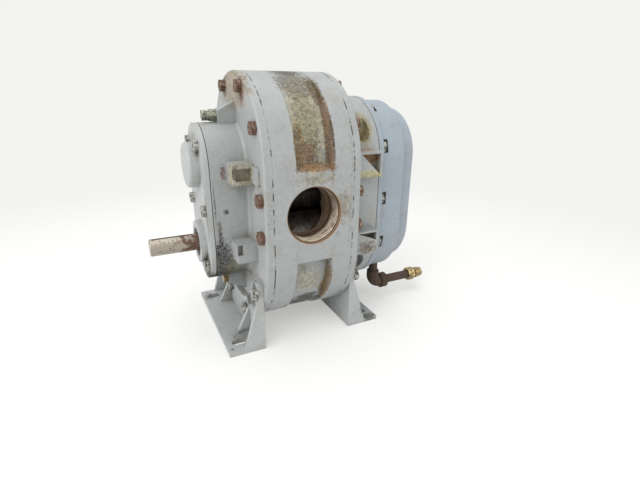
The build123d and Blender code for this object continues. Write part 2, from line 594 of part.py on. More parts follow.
# ================================================================ shafts
GEAR_END_STEPS = (
    (-ROTOR_HALF, ROTOR_HALF, ROTOR_HUB_R),
    (ROTOR_HALF, BEARING_X, JOURNAL_R),
    (BEARING_X, SUMP_X, BEARING_BORE_R),
    (SUMP_X, GEAR_OUT_X, GEAR_SEAT_R),
    (GEAR_OUT_X, THREAD_END_X, NUT_THREAD_R),
    (-BEARING_X, -ROTOR_HALF, JOURNAL_R),
    (-BEARING_X - BEARING_W, -BEARING_X, BEARING_BORE_R),
)
DRIVE_END_STEPS = (
    (COVER_JOURNAL_X, -BEARING_X - BEARING_W, COVER_JOURNAL_R),
    (STUB_X, COVER_JOURNAL_X, STUB_R),
)
KEYWAY_FLOOR = STUB_R - KEYWAY_W / 2
GEAR_KEY_L = GEAR_FACE - 2

with BuildPart() as drive_shaft:
    for x0, x1, radius in GEAR_END_STEPS + DRIVE_END_STEPS:
        with BuildSketch(station(x0, DRIVE_Z)):
            Circle(radius)
        extrude(amount=x1 - x0)
    chamfer(drive_shaft.faces().sort_by(Axis.X)[0].edges(), SHAFT_END_BEVEL)
    with BuildSketch(Plane.XY.offset(DRIVE_Z + KEYWAY_FLOOR)):
        with Locations(((KEYWAY_X0 + KEYWAY_X1) / 2, 0)):
            Rectangle(KEYWAY_X1 - KEYWAY_X0, KEYWAY_W)
    extrude(amount=KEYWAY_W, mode=Mode.SUBTRACT)
    with BuildSketch(Plane.XY.offset(DRIVE_Z + GEAR_KEY_OUT)):
        with Locations((GEAR_X + GEAR_FACE / 2, 0)):
            Rectangle(GEAR_KEY_L, GEAR_KEY_W)
    extrude(amount=-GEAR_KEY_H, mode=Mode.SUBTRACT)
save("drive_shaft", drive_shaft.part)

with BuildPart() as driven_shaft:
    for x0, x1, radius in GEAR_END_STEPS:
        with BuildSketch(station(x0, DRIVEN_Z)):
            Circle(radius)
        extrude(amount=x1 - x0)
    with BuildSketch(Plane.XY.offset(DRIVEN_Z + GEAR_KEY_OUT)):
        with Locations((GEAR_X + GEAR_FACE / 2, 0)):
            Rectangle(GEAR_KEY_L, GEAR_KEY_W)
    extrude(amount=-GEAR_KEY_H, mode=Mode.SUBTRACT)
save("driven_shaft", driven_shaft.part)


# ================================================================ timing gears
def half_tooth(radius):
    """Half the angle that a tooth takes up at a radius, on an involute flank."""
    pressure = acos(min(1, CENTRES / 2 * cos(PRESSURE_ANGLE) / radius))
    involute = tan(PRESSURE_ANGLE) - PRESSURE_ANGLE - (tan(pressure) - pressure)
    return pi / 2 / TEETH - BACKLASH / 2 / CENTRES + involute


def timing_gear(name, z, turn):
    """Spur gear with arcs drawn through three points of each involute flank, and its key."""
    tip_r = CENTRES / 2 + MODULE
    root_r = CENTRES / 2 - 1.25 * MODULE
    base_r = CENTRES / 2 * cos(PRESSURE_ANGLE)
    radii = (base_r, (base_r + tip_r) / 2, tip_r)

    def at(radius, angle):
        return (radius * cos(angle), radius * sin(angle))

    with BuildPart() as gear:
        with BuildSketch(station(GEAR_X, z)):
            with BuildLine():
                for tooth in range(TEETH):
                    middle = radians(turn) + 2 * pi * tooth / TEETH
                    following = middle + 2 * pi / TEETH
                    foot = half_tooth(base_r) + radians(0.3)
                    rising = [at(r, middle - half_tooth(r)) for r in radii]
                    falling = [at(r, middle + half_tooth(r)) for r in reversed(radii)]
                    Line(at(root_r, middle - foot), rising[0])
                    ThreePointArc(*rising)
                    Line(rising[-1], falling[0])
                    ThreePointArc(*falling)
                    Line(falling[-1], at(root_r, middle + foot))
                    Line(at(root_r, middle + foot), at(root_r, following - foot))
            make_face()
            Circle(GEAR_SEAT_R, mode=Mode.SUBTRACT)
            with Locations((0, GEAR_KEY_OUT / 2)):
                Rectangle(GEAR_KEY_W, GEAR_KEY_OUT, mode=Mode.SUBTRACT)
        extrude(amount=GEAR_FACE)
    save(f"{name}_timing_gear", gear.part)
    with BuildPart() as gear_key:
        with BuildSketch(Plane.XY.offset(z + GEAR_KEY_OUT)):
            with Locations((GEAR_X + GEAR_FACE / 2, 0)):
                Rectangle(GEAR_KEY_L, GEAR_KEY_W)
        extrude(amount=-GEAR_KEY_H)
    save(f"{name}_gear_key", gear_key.part)


timing_gear("drive", DRIVE_Z, 90)
timing_gear("driven", DRIVEN_Z, 90 + 180 / TEETH)


def nut(name, z, x0):
    with BuildPart() as gear_nut:
        with BuildSketch(station(x0, z)):
            RegularPolygon(NUT_FLATS / 2, 6, major_radius=False)
            Circle(NUT_THREAD_R, mode=Mode.SUBTRACT)
        extrude(amount=NUT_T)
    save(name, gear_nut.part)


SLINGER_X = GEAR_OUT_X + SLINGER_HUB_T
SLINGER_OUT_X = SLINGER_X + SLINGER_T
turned("drive_gear_spacer", DRIVE_Z, (SUMP_X, GEAR_X, GEAR_HUB_R, GEAR_SEAT_R))
turned("driven_gear_spacer", DRIVEN_Z, (SUMP_X, GEAR_X, GEAR_HUB_R, GEAR_SEAT_R))
turned(
    "oil_slinger",
    DRIVE_Z,
    (GEAR_OUT_X, SLINGER_X, GEAR_HUB_R, NUT_THREAD_R),
    (SLINGER_X, SLINGER_OUT_X, SLINGER_R, NUT_THREAD_R),
)
turned("drive_gear_washer", DRIVE_Z, (SLINGER_OUT_X, SLINGER_OUT_X + WASHER_T, GEAR_HUB_R, NUT_THREAD_R))
turned("driven_gear_washer", DRIVEN_Z, (GEAR_OUT_X, GEAR_OUT_X + WASHER_T, GEAR_HUB_R, NUT_THREAD_R))
nut("drive_gear_nut", DRIVE_Z, SLINGER_OUT_X + WASHER_T)
nut("driven_gear_nut", DRIVEN_Z, GEAR_OUT_X + WASHER_T)

# ================================================================ bearings and oil seals
for shaft, z in (("drive", DRIVE_Z), ("driven", DRIVEN_Z)):
    for end, x0, seal_x0 in (
        ("drive_end", -BEARING_X - BEARING_W, -SEAL_X - SEAL_W),
        ("gear_end", BEARING_X, SEAL_X),
    ):
        place = f"{shaft}_shaft_{end}"
        x1 = x0 + BEARING_W
        turned(
            f"{place}_outer_ring",
            z,
            (x0, x0 + BEARING_RIB_T, BEARING_OUT_R, BEARING_OUTER_R - BEARING_RIB),
            (x0 + BEARING_RIB_T, x1 - BEARING_RIB_T, BEARING_OUT_R, BEARING_OUTER_R),
            (x1 - BEARING_RIB_T, x1, BEARING_OUT_R, BEARING_OUTER_R - BEARING_RIB),
        )
        turned(f"{place}_inner_ring", z, (x0, x1, BEARING_INNER_R, BEARING_BORE_R))
        with BuildPart() as rollers:
            with BuildSketch(station(x0 + BEARING_RIB_T + RUNNING_GAP, z)):
                with PolarLocations((BEARING_INNER_R + BEARING_OUTER_R) / 2, ROLLERS):
                    Circle((BEARING_OUTER_R - BEARING_INNER_R) / 2 - RUNNING_GAP)
            extrude(amount=BEARING_W - 2 * BEARING_RIB_T - 2 * RUNNING_GAP)
        save(f"{place}_rollers", rollers.part)
        turned(f"{place}_oil_seal", z, (seal_x0, seal_x0 + SEAL_W, SEAL_R, JOURNAL_R + RUNNING_GAP))

turned(
    "drive_shaft_oil_seal",
    DRIVE_Z,
    (-SEAL_BOSS_X + 0.5, -SEAL_BOSS_X + 0.5 + SEAL_W, COVER_SEAL_R, COVER_JOURNAL_R + RUNNING_GAP),
)

with BuildPart() as bearing_retainer:
    with BuildSketch(station(SUMP_X)):
        SlotCenterToCenter(CENTRES, 2 * RETAINER_R, rotation=90)
        with Locations(*SHAFTS):
            Circle(BEARING_OUTER_R + 1, mode=Mode.SUBTRACT)
        with Locations(*[(y, z - MID_Z) for y, z in RETAINER_SCREWS]):
            Circle(BOLT_14[0] + TAP_GAP, mode=Mode.SUBTRACT)
    extrude(amount=RETAINER_T)
save("bearing_retainer", bearing_retainer.part)

# ================================================================ feet
# Welded foot: base plate, web bolted to the headplate, and four gussets.
with BuildPart() as gear_foot:
    with BuildSketch(Plane.XY):
        with Locations(((FLANGE_X + FOOT_OUT_X) / 2, 0)):
            Rectangle(FOOT_OUT_X - FLANGE_X, 2 * FOOT_HALF_Y)
        with Locations((SLOT_X, -SLOT_Y), (SLOT_X, SLOT_Y)):
            SlotOverall(SLOT_LENGTH, SLOT_W, mode=Mode.SUBTRACT)
    extrude(amount=FOOT_T)
    with BuildSketch(station(FLANGE_X, 0)):
        with Locations((0, FOOT_EAR_Z / 2)):
            Rectangle(2 * FOOT_HALF_Y, FOOT_EAR_Z)
        with Locations((0, DRIVE_Z)):
            Circle(FOOT_CLEAR_R, mode=Mode.SUBTRACT)
        with Locations(*FOOT_BOLTS):
            Circle(BOLT_38[0] + BOLT_GAP, mode=Mode.SUBTRACT)
    extrude(amount=FOOT_WEB_T)
    web_x = FLANGE_X + FOOT_WEB_T
    for side in (-1, 1):
        outer = [(web_x, FOOT_T), (web_x, GUSSET_TOP), *GUSSET_BENDS, (GUSSET_REACH, FOOT_T)]
        inner = [(web_x, FOOT_T), (web_x, INNER_GUSSET_TOP), (GUSSET_REACH, FOOT_T)]
        for y_out, profile in ((FOOT_HALF_Y, outer), (INNER_GUSSET_Y + GUSSET_T / 2, inner)):
            with BuildSketch(Plane.XZ.offset(-side * y_out)):
                with BuildLine():
                    Polyline(*profile, close=True)
                make_face()
            extrude(amount=side * GUSSET_T)
save("gear_foot", gear_foot.part)

with BuildPart() as drive_foot:
    mirror(gear_foot.part, about=Plane.YZ)
save("drive_foot", drive_foot.part)

# ================================================================ plugs and drain pipework
vent_z = DRIVEN_Z + DRIVE_NECK_R + PLUG_RISE
with BuildPart() as vent_plug:
    with BuildSketch(station(-PLUG_LUG_X, vent_z)):
        Circle(PLUG_R)
    extrude(amount=PLUG_THREAD)
    with BuildSketch(station(-PLUG_LUG_X, vent_z)):
        RegularPolygon(PLUG_FLATS / 2, 6, major_radius=False)
    extrude(amount=-VENT_HEX)
    with BuildSketch(station(-PLUG_LUG_X - VENT_HEX, vent_z)):
        Circle(VENT_CAP_R)
    extrude(amount=-VENT_CAP)
save("vent_plug", vent_plug.part)

drain_z = DRIVE_Z - DRIVE_NECK_R - PLUG_RISE
with BuildPart() as drain_plug:
    with BuildSketch(station(-PLUG_LUG_X, drain_z)):
        Circle(PLUG_R)
    extrude(amount=PLUG_THREAD)
    with BuildSketch(station(-PLUG_LUG_X, drain_z)):
        RegularPolygon(PLUG_FLATS / 2, 6, major_radius=False)
    extrude(amount=-DRAIN_PLUG_HEX)
save("drain_plug", drain_plug.part)

with BuildPart() as level_plug:
    with BuildSketch(station(COVER_BULGE_X, DRIVE_Z - LEVEL_FALL)):
        Circle(PLUG_R)
    extrude(amount=-COVER_WALL)
    with BuildSketch(station(COVER_BULGE_X, DRIVE_Z - LEVEL_FALL)):
        Rectangle(LEVEL_SQUARE, LEVEL_SQUARE)
    extrude(amount=LEVEL_HEAD)
save("level_plug", level_plug.part)

# street elbow: male leg up into the gear cover, female leg along +X
bend_top = DRAIN_Z + ELBOW_BEND
band_x = DRAIN_X + ELBOW_BEND
with BuildPart() as drain_elbow:
    with BuildSketch(Plane.XY.offset(bend_top)):
        with Locations((DRAIN_X, DRAIN_Y)):
            Circle(ELBOW_R)
    revolve(
        axis=Axis((DRAIN_X + ELBOW_BEND, DRAIN_Y, bend_top), (0, -1, 0)),
        revolution_arc=90,
    )
    with BuildSketch(Plane.XY.offset(bend_top)):
        with Locations((DRAIN_X, DRAIN_Y)):
            Circle(ELBOW_R)
    extrude(amount=ELBOW_LEG)
    with BuildSketch(Plane.XY.offset(bend_top)):
        with Locations((DRAIN_X, DRAIN_Y)):
            Circle(PIPE_R)
    extrude(amount=DRAIN_TOP_Z - bend_top)
    with BuildSketch(station(band_x, DRAIN_Z)):
        with Locations((DRAIN_Y, 0)):
            Circle(ELBOW_BAND_R)
    extrude(amount=ELBOW_BAND)
    with BuildSketch(station(band_x + ELBOW_BAND, DRAIN_Z)):
        with Locations((DRAIN_Y, 0)):
            Circle(PIPE_R)
    extrude(amount=-ELBOW_BAND, mode=Mode.SUBTRACT)
save("drain_elbow", drain_elbow.part)

with BuildPart() as drain_nipple:
    with BuildSketch(station(band_x, DRAIN_Z)):
        with Locations((DRAIN_Y, 0)):
            Circle(PIPE_R)
    extrude(amount=FITTING_X0 + FITTING_SOCKET - band_x)
save("drain_nipple", drain_nipple.part)

# brass hose fitting: hexagon screwed on the nipple, then a ribbed tail
with BuildPart() as drain_fitting:
    with BuildSketch(station(FITTING_X0, DRAIN_Z)):
        with Locations((DRAIN_Y, 0)):
            RegularPolygon(FITTING_FLATS / 2, 6, major_radius=False)
    extrude(amount=FITTING_HEX)
    for x0, x1, radius in FITTING_TAIL:
        with BuildSketch(station(x0, DRAIN_Z)):
            with Locations((DRAIN_Y, 0)):
                Circle(radius)
        extrude(amount=x1 - x0)
    with BuildSketch(station(FITTING_X0, DRAIN_Z)):
        with Locations((DRAIN_Y, 0)):
            Circle(PIPE_R)
    extrude(amount=FITTING_SOCKET, mode=Mode.SUBTRACT)
    with BuildSketch(station(FITTING_X1, DRAIN_Z)):
        with Locations((DRAIN_Y, 0)):
            Circle(FITTING_BORE_R)
    extrude(amount=-FITTING_BORE_DEPTH, mode=Mode.SUBTRACT)
save("drain_fitting", drain_fitting.part)

# ================================================================ screws and dowels
web_seat_x = FLANGE_X + FOOT_WEB_T
for end, out in (("drive", -1), ("gear", 1)):
    hex_screws(f"{end}_headplate_bolts", CASE_BOLTS, out * FLANGE_X, FLANGE_T + CASE_GRIP, BOLT_38)
    hex_screws(f"{end}_foot_bolts", FOOT_BOLTS, out * web_seat_x, FOOT_WEB_T + FLANGE_T + CASE_GRIP, BOLT_38)
    with BuildPart() as dowels:
        with BuildSketch(station(out * (CYL_HALF - DOWEL_IN_CASE), 0)):
            with Locations(*DOWELS):
                Circle(DOWEL_R)
        extrude(amount=out * (DOWEL_IN_CASE + DOWEL_IN_PLATE))
    save(f"{end}_dowels", dowels.part)
hex_screws("drive_cover_bolts", DRIVE_COVER_BOLTS, -DRIVE_COVER_X - DRIVE_COVER_T, COVER_GRIP, BOLT_516)
hex_screws("gear_cover_bolts", GEAR_COVER_BOLTS, COVER_RIM_X, COVER_GRIP, BOLT_516)
hex_screws("retainer_screws", RETAINER_SCREWS, SUMP_X + RETAINER_T, RETAINER_GRIP, BOLT_14)
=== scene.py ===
"""Dresses the roots vacuum pump: worn enamel on the castings, rusty steel and iron, threads in the ports.

Run as a script in Blender. Everything is in metres in the pump's own frame: +X towards the timing gears,
-X out of the drive shaft, +Z up, with the floor at Z = 0.
"""

import math

import bpy
import bmesh
from mathutils import Matrix, Vector


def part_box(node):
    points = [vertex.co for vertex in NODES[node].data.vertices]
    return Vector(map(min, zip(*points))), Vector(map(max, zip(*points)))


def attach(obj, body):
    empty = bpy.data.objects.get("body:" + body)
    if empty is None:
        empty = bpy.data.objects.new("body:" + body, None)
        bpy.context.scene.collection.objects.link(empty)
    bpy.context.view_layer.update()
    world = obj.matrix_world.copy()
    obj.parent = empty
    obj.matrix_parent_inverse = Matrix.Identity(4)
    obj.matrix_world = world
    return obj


bl_info = {
    "name": "Roots pump dressing",
    "version": (1, 0, 0),
    "blender": (4, 5, 0),
    "location": "3D View > Sidebar > Pump",
    "description": "Finishes, port threads and a plain stage for a foot-mounted roots vacuum pump",
    "category": "Object",
}

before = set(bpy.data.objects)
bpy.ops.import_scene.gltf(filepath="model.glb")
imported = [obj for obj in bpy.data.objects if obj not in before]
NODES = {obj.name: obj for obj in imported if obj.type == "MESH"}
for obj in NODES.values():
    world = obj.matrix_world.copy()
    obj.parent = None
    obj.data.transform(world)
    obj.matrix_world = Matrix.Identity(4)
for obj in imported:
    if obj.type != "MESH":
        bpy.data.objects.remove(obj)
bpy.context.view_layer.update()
MM = 0.001
PORT_PITCH = 25.4 / 8 * MM  # 2 1/2 in pipe thread, 8 to the inch
BACKDROP_HEX = "#F3F3F0"

# Radii between which one surface gives way to the next, outer first
PORT_MASK = (36.3 * MM, 35.6 * MM)  # paint to bare iron round a port
BORE_MASK = (78 * MM, 77 * MM)  # paint to bare iron round a rotor bore
CREST_MASK = (33.75 * MM, 33.3 * MM)  # root to rubbed crest of a thread

RIDGE_ROOT_R = 34.55 * MM  # a thread ridge starts just behind the tapped wall
FIRST_CREST = 1.8 * MM  # from the mouth of the port
THREAD_TURNS = 9
STEPS_A_TURN = 72

WAVE_RADIANS = 20  # that a wave texture turns through in one unit at scale 1
FLOOR_FADE = (0.35, 1.1)  # metres from the pump over which the floor runs out into the backdrop
LAMP_TARGET = (0, 0, 0.17)  # the middle of the pump
CAMERA_PLACE = (-201.06, -530.12, 322.79)  # millimetres
CAMERA_HEADING, CAMERA_PITCH, CAMERA_ROLL = 0.459, -0.359, 0.009  # radians
SENSOR_WIDTH, FOCAL_LENGTH = 36.0, 23.17  # millimetres


# ---------------------------------------------------------------- colours and node helper
def hex_colour(text):
    """sRGB hex, such as #A9B0B5, to linear RGB."""
    channels = [int(text[i : i + 2], 16) / 255 for i in (1, 3, 5)]
    return tuple(c / 12.92 if c <= 0.04045 else ((c + 0.055) / 1.055) ** 2.4 for c in channels)


def rgba(colour):
    return (*colour[:3], 1.0)


def per_mm(size):
    """Texture scale at which one feature of a pattern is about this many millimetres across."""
    return 1 / (size * MM)


def add(tree, kind, inputs=None, **settings):
    """Adds one node: settings are its properties, inputs give its sockets values or links."""
    made = tree.nodes.new(kind)
    for name, value in settings.items():
        setattr(made, name, value)
    for socket, value in (inputs or {}).items():
        if isinstance(value, bpy.types.NodeSocket):
            tree.links.new(value, made.inputs[socket])
        else:
            made.inputs[socket].default_value = value
    return made


def start_material(name):
    """A material with an empty tree, its output node and the pump's own coordinates."""
    material = bpy.data.materials.new(name)
    material.use_nodes = True
    tree = material.node_tree
    tree.nodes.clear()
    output = add(tree, "ShaderNodeOutputMaterial")
    place = add(tree, "ShaderNodeTexCoord").outputs["Object"]
    return material, tree, output, place


# ---------------------------------------------------------------- what a user would change
class PumpFinish(bpy.types.PropertyGroup):
    enamel: bpy.props.FloatVectorProperty(
        name="Enamel",
        description="Light grey machine enamel on the castings",
        subtype="COLOR",
        size=3,
        min=0,
        max=1,
        default=hex_colour("#A1A4A5"),
    )
    cover_enamel: bpy.props.FloatVectorProperty(
        name="Gear cover enamel",
        description="The gear cover's slightly bluer coat",
        subtype="COLOR",
        size=3,
        min=0,
        max=1,
        default=hex_colour("#99A3AD"),
    )
    rust: bpy.props.FloatVectorProperty(
        name="Rust",
        description="Dry brown rust on screws, shaft and bare iron",
        subtype="COLOR",
        size=3,
        min=0,
        max=1,
        default=hex_colour("#6E4936"),
    )
    # laid into corners by an occlusion mask, so this colour is dirt and painted shade
    grime_and_shade: bpy.props.FloatVectorProperty(
        name="Grime",
        description="Olive oily dirt that gathers in corners",
        subtype="COLOR",
        size=3,
        min=0,
        max=1,
        default=hex_colour("#6C6750"),
    )
    wear: bpy.props.FloatProperty(
        name="Wear",
        description="How much the enamel is chipped and stained",
        subtype="FACTOR",
        min=0,
        max=1,
        default=0.8,
    )


class PumpSizes(bpy.types.PropertyGroup):
    port_pitch: bpy.props.FloatProperty(
        name="Port thread pitch",
        description="Distance between crests of the pipe thread in the ports",
        subtype="DISTANCE",
        unit="LENGTH",
        default=PORT_PITCH,
    )
    port_depth: bpy.props.FloatProperty(
        name="Port thread height",
        description="How far the crests stand in from the tapped wall",
        subtype="DISTANCE",
        unit="LENGTH",
        default=1.5 * MM,
    )
    floor: bpy.props.FloatProperty(
        name="Floor",
        description="Width of the floor under the pump",
        subtype="DISTANCE",
        unit="LENGTH",
        default=12.0,
    )


# ---------------------------------------------------------------- where dirt and some painted shade lie, in millimetres
# Each stain, or patch of painted shade: centre, half sizes, colour, grain of its edge, cover. Cover 1 is
# solid at the centre.
DRIVE_PLATE_STAINS_AND_SHADE = (
    ((-62, -6, 322), (10, 74, 27), "#9F917B", 9, 1.0),
    ((-62, -40, 316), (8, 15, 20), "#6B4733", 4, 0.85),
    ((-62, 34, 318), (8, 13, 18), "#5F4030", 4, 0.7),
    ((-76, -70, 226), (20, 12, 16), "#A69F86", 3, 1.3),
    ((-56, -103, 190), (6, 9, 76), "#8C887A", 3, 0.85),
    # the next two are dirt with painted shadow: below the upper lug's pocket, and under its top rib
    ((-72, -73, 214), (12, 6, 4), "#4E4435", 2, 0.9),
    ((-86, -77, 229), (6, 4, 9), "#473A2C", 3, 0.9),
    ((-70, -77, 214), (16, 4, 4), "#B0A98A", 3, 0.8),
    ((-79, -66, 207), (8, 14, 12), "#99957A", 5, 0.6),
    ((-92, -51, 225), (4, 4, 13), "#6F5245", 3, 0.85),
    ((-91, -51, 178), (5, 3, 5), "#26231F", 2.2, 0.8),
    ((-100, -51, 150), (5, 4, 34), "#2B2722", 1.6, 0.62),
    ((-104, -50, 190), (2, 5, 60), "#3A352C", 2, 0.5),
    ((-101, -42, 104), (12, 30, 30), "#1F1C17", 3, 1.45),
    ((-86, -40, 86), (24, 32, 14), "#312E27", 3, 1.2),
    ((-70, -62, 96), (14, 26, 20), "#8A8572", 3, 0.8),
    ((-84, -50, 100), (20, 26, 26), "#7C785C", 7, 0.75),
    ((-70, -78, 86), (12, 14, 12), "#3A352D", 3, 0.6),
    ((-62, -100, 200), (6, 9, 12), "#73503D", 3, 0.7),
    ((-66, -96, 136), (6, 6, 12), "#4A463A", 3, 0.45),
)
CYLINDER_STAINS_AND_SHADE = (
    ((1, -82, 290), (19, 34, 66), "#B3AD97", 5, 1.4),
    ((0, -84, 290), (19, 30, 56), "#857F60", 2, 1.0),
    ((-14, -95, 262), (7, 12, 34), "#7A6438", 3, 1.1),
    ((0, -94, 250), (18, 10, 22), "#5B4228", 2, 0.75),
    ((0, -111, 222), (44, 8, 12), "#9A9482", 4, 0.7),
    ((-8, -99, 248), (16, 12, 18), "#7E664A", 4, 0.9),
    ((23, -94, 288), (3.5, 28, 56), "#7B5A32", 3, 1.4),
    ((25, -100, 268), (2, 20, 44), "#3A2C20", 2.5, 0.9),
    ((-23, -106, 262), (4, 9, 44), "#8F7F5E", 3, 0.6),
    ((2, -104, 235), (25, 9, 5), "#86602F", 3, 1.3),
    ((0, -50, 324), (24, 52, 16), "#6B6454", 3, 1.1),
    ((20, -62, 318), (7, 30, 18), "#5A4422", 3, 1.2),
    ((0, -20, 338), (26, 40, 6), "#45402F", 3, 0.9),
    ((24, -96, 72), (3, 24, 34), "#75592B", 3, 1.4),
    ((20, -90, 66), (5, 14, 18), "#7A6132", 3, 1.0),
    ((-3, -94, 84), (24, 16, 34), "#A5A18E", 3, 0.85),
    # the next two are painted shadow at the bottom of the lower front panel
    ((2, -84, 56), (22, 18, 8), "#3A362B", 3, 1.0),
    ((0, -70, 44), (25, 20, 12), "#2F2E26", 5, 1.1),
    ((-10, -98, 104), (14, 6, 16), "#8E8974", 2, 0.7),
    ((22, -94, 56), (8, 10, 14), "#B3A981", 4, 0.7),
    ((38, -111, 186), (11, 4, 24), "#8D8674", 4, 0.95),
    ((48, -104, 190), (4, 9, 100), "#8F8A73", 3, 0.85),
    ((30, -110, 152), (14, 3, 10), "#8C8577", 5, 0.4),
    ((0, -10, 17), (60, 90, 8), "#54563F", 6, 0.8),
    ((0, 82, 290), (19, 34, 64), "#A8A28C", 5, 1.3),
    ((-22, 98, 276), (4, 28, 60), "#74583A", 3, 1.2),
    ((0, 104, 235), (25, 9, 5), "#7D5C34", 3, 1.1),
    ((0, 94, 80), (24, 16, 36), "#8A8470", 4, 0.9),
    ((-22, 96, 84), (4, 24, 42), "#6E5631", 3, 1.2),
)
GEAR_PLATE_STAINS_AND_SHADE = (
    ((85, -64, 270), (13, 18, 20), "#9C8C55", 2.5, 1.3),
    ((82, -66, 277), (9, 14, 9), "#7E5C37", 3, 0.7),
    ((86, -84, 238), (13, 9, 10), "#A07038", 3, 1.3),
    ((80, -96, 216), (24, 5, 7), "#B7AC78", 3, 1.2),
    # dark brown in the lower lug's pocket: rust and painted shadow
    ((84, -90, 118), (18, 9, 14), "#64523C", 4, 1.1),
    ((88, -94, 96), (18, 7, 12), "#BBA566", 3, 1.2),
    ((64, -92, 200), (6, 24, 104), "#BDB796", 3, 0.95),
    ((63, -100, 150), (4, 9, 60), "#57503C", 2.5, 0.6),
    ((62, -104, 130), (5, 10, 30), "#8E8870", 3, 0.5),
    ((85, 64, 270), (13, 16, 19), "#8B835F", 3, 0.9),
    ((85, 90, 230), (18, 9, 16), "#8F815A", 5, 1.0),
    ((85, 92, 108), (18, 8, 18), "#7A6A4C", 4, 0.9),
)
COVER_STAINS_AND_SHADE = (
    # the next two are painted shadow in the gaps beside the cover screw heads
    ((116, -72, 238), (3, 4, 6), "#33302B", 2, 0.8),
    ((117, -70, 114), (3, 4, 5), "#3E3A30", 2, 0.7),
    ((150, -20, 55), (16, 20, 8), "#6A5B44", 5, 0.6),
)
DRIVE_COVER_STAINS = (
    ((-114, -26, 252), (5, 12, 14), "#6D685C", 3, 0.7),
    ((-113, 0, 262), (4, 30, 14), "#9C998C", 4, 0.6),
    ((-113, -34, 178), (4, 8, 9), "#7F796C", 3, 0.5),
    ((-113, -26, 101), (5, 14, 18), "#4C4638", 3, 1.2),
    ((-110, -22, 84), (6, 24, 10), "#27231D", 2.5, 1.3),
    ((-110, -30, 118), (4, 14, 26), "#37332A", 2.5, 0.7),
    ((-113, 0, 92), (5, 34, 14), "#4A4436", 4, 0.7),
    ((-121, -8, 118), (4, 8, 8), "#55504A", 2.5, 0.8),
    ((-113, -44, 180), (4, 8, 70), "#6C675A", 2, 0.65),
)
DRIVE_FOOT_STAINS = (
    ((-70, -60, 62), (10, 26, 16), "#4E4C42", 3, 0.95),
    ((-70, -66, 84), (10, 26, 14), "#35332D", 3, 1.0),
    ((-84, -60, 8), (22, 26, 6), "#7B7D78", 3, 0.8),
    ((-68, -86, 80), (9, 8, 12), "#4C4A44", 2.5, 0.7),
    ((-100, 70, 6), (12, 22, 4), "#5C584C", 4, 0.6),
    ((-84, -48, 30), (10, 6, 18), "#6A7470", 3, 0.5),
    ((-76, -48, 60), (16, 10, 16), "#2E2B25", 3, 1.2),
    ((-104, -84, 5), (6, 8, 6), "#4F4D46", 3, 0.5),
)
GEAR_FOOT_STAINS = (
    ((98, -88, 6), (13, 9, 8), "#43442F", 4, 0.95),
    ((84, -91, 24), (8, 3, 22), "#7A7A63", 3, 0.5),
    ((64, -93, 90), (6, 4, 10), "#4E4B40", 2.5, 0.6),
)


# ---------------------------------------------------------------- materials
def lay_stains_and_shade(tree, place, shade, rough, stains_and_shade):
    """Covers shade and rough with each stain, or patch of painted shade, in turn, and returns the new pair of
    sockets.

    Every stain has a ragged edge, is dark and pale in patches of 5 mm and is broken up by 1.3 mm specks.
    """
    patches = add(
        tree, "ShaderNodeTexNoise", {"Vector": place, "Scale": per_mm(5), "Detail": 4.0, "Roughness": 0.65}
    ).outputs["Fac"]
    tone = add(
        tree,
        "ShaderNodeMapRange",
        {
            "Value": patches,
            "From Min": 0.36,
            "From Max": 0.62,
        },
        interpolation_type="SMOOTHSTEP",
    ).outputs["Result"]
    grit = add(
        tree, "ShaderNodeTexNoise", {"Vector": place, "Scale": per_mm(1.3), "Detail": 3.0, "Roughness": 0.65}
    ).outputs["Fac"]
    specks = add(
        tree,
        "ShaderNodeMapRange",
        {
            "Value": grit,
            "From Min": 0.34,
            "From Max": 0.6,
            "To Min": 0.35,
        },
        interpolation_type="SMOOTHSTEP",
    ).outputs["Result"]
    for centre, half, colour, grain, cover in stains_and_shade:
        middle = [c * MM for c in centre]
        away = add(tree, "ShaderNodeVectorMath", {0: place, 1: middle}, operation="SUBTRACT")
        scaled = add(
            tree,
            "ShaderNodeVectorMath",
            {0: away.outputs[0], 1: [per_mm(h) for h in half]},
            operation="MULTIPLY",
        )
        reach = add(tree, "ShaderNodeVectorMath", {0: scaled.outputs[0]}, operation="LENGTH")
        # 1 at the centre of the stain, ragged where the noise bites into its edge
        nearness = add(tree, "ShaderNodeMath", {0: cover, 1: reach.outputs["Value"]}, operation="SUBTRACT")
        edge = add(
            tree,
            "ShaderNodeTexNoise",
            {"Vector": place, "Scale": per_mm(grain), "Detail": 4.0, "Roughness": 0.65},
        ).outputs["Fac"]
        ragged = add(
            tree,
            "ShaderNodeMath",
            {
                0: edge,
                1: 1.7,
                2: nearness.outputs[0],
            },
            operation="MULTIPLY_ADD",
        )
        mask = add(
            tree,
            "ShaderNodeMath",
            {
                0: add(
                    tree,
                    "ShaderNodeMapRange",
                    {"Value": ragged.outputs[0], "From Min": 0.72, "From Max": 1.3},
                    interpolation_type="SMOOTHSTEP",
                ).outputs["Result"],
                1: specks,
            },
            operation="MULTIPLY",
        ).outputs[0]
        pale = hex_colour(colour)
        dark = [c * 0.5 for c in pale]
        shade = add(
            tree,
            "ShaderNodeMix",
            {
                "Factor": mask,
                "A": shade,
                "B": add(
                    tree,
                    "ShaderNodeMix",
                    {"Factor": tone, "A": rgba(dark), "B": rgba(pale)},
                    data_type="RGBA",
                ).outputs["Result"],
            },
            data_type="RGBA",
        ).outputs["Result"]
        rough = add(
            tree, "ShaderNodeMix", {"Factor": mask, "A": rough, "B": 0.85}, data_type="FLOAT"
        ).outputs["Result"]
    return shade, rough


def seen_as_backdrop(tree):
    """1 for the rays that show the backdrop itself: straight from the camera, mirrored or through glass."""
    ray = add(tree, "ShaderNodeLightPath").outputs
    either = add(
        tree, "ShaderNodeMath", {0: ray["Is Camera Ray"], 1: ray["Is Glossy Ray"]}, operation="MAXIMUM"
    )
    return add(
        tree, "ShaderNodeMath", {0: either.outputs[0], 1: ray["Is Transmission Ray"]}, operation="MAXIMUM"
    ).outputs[0]


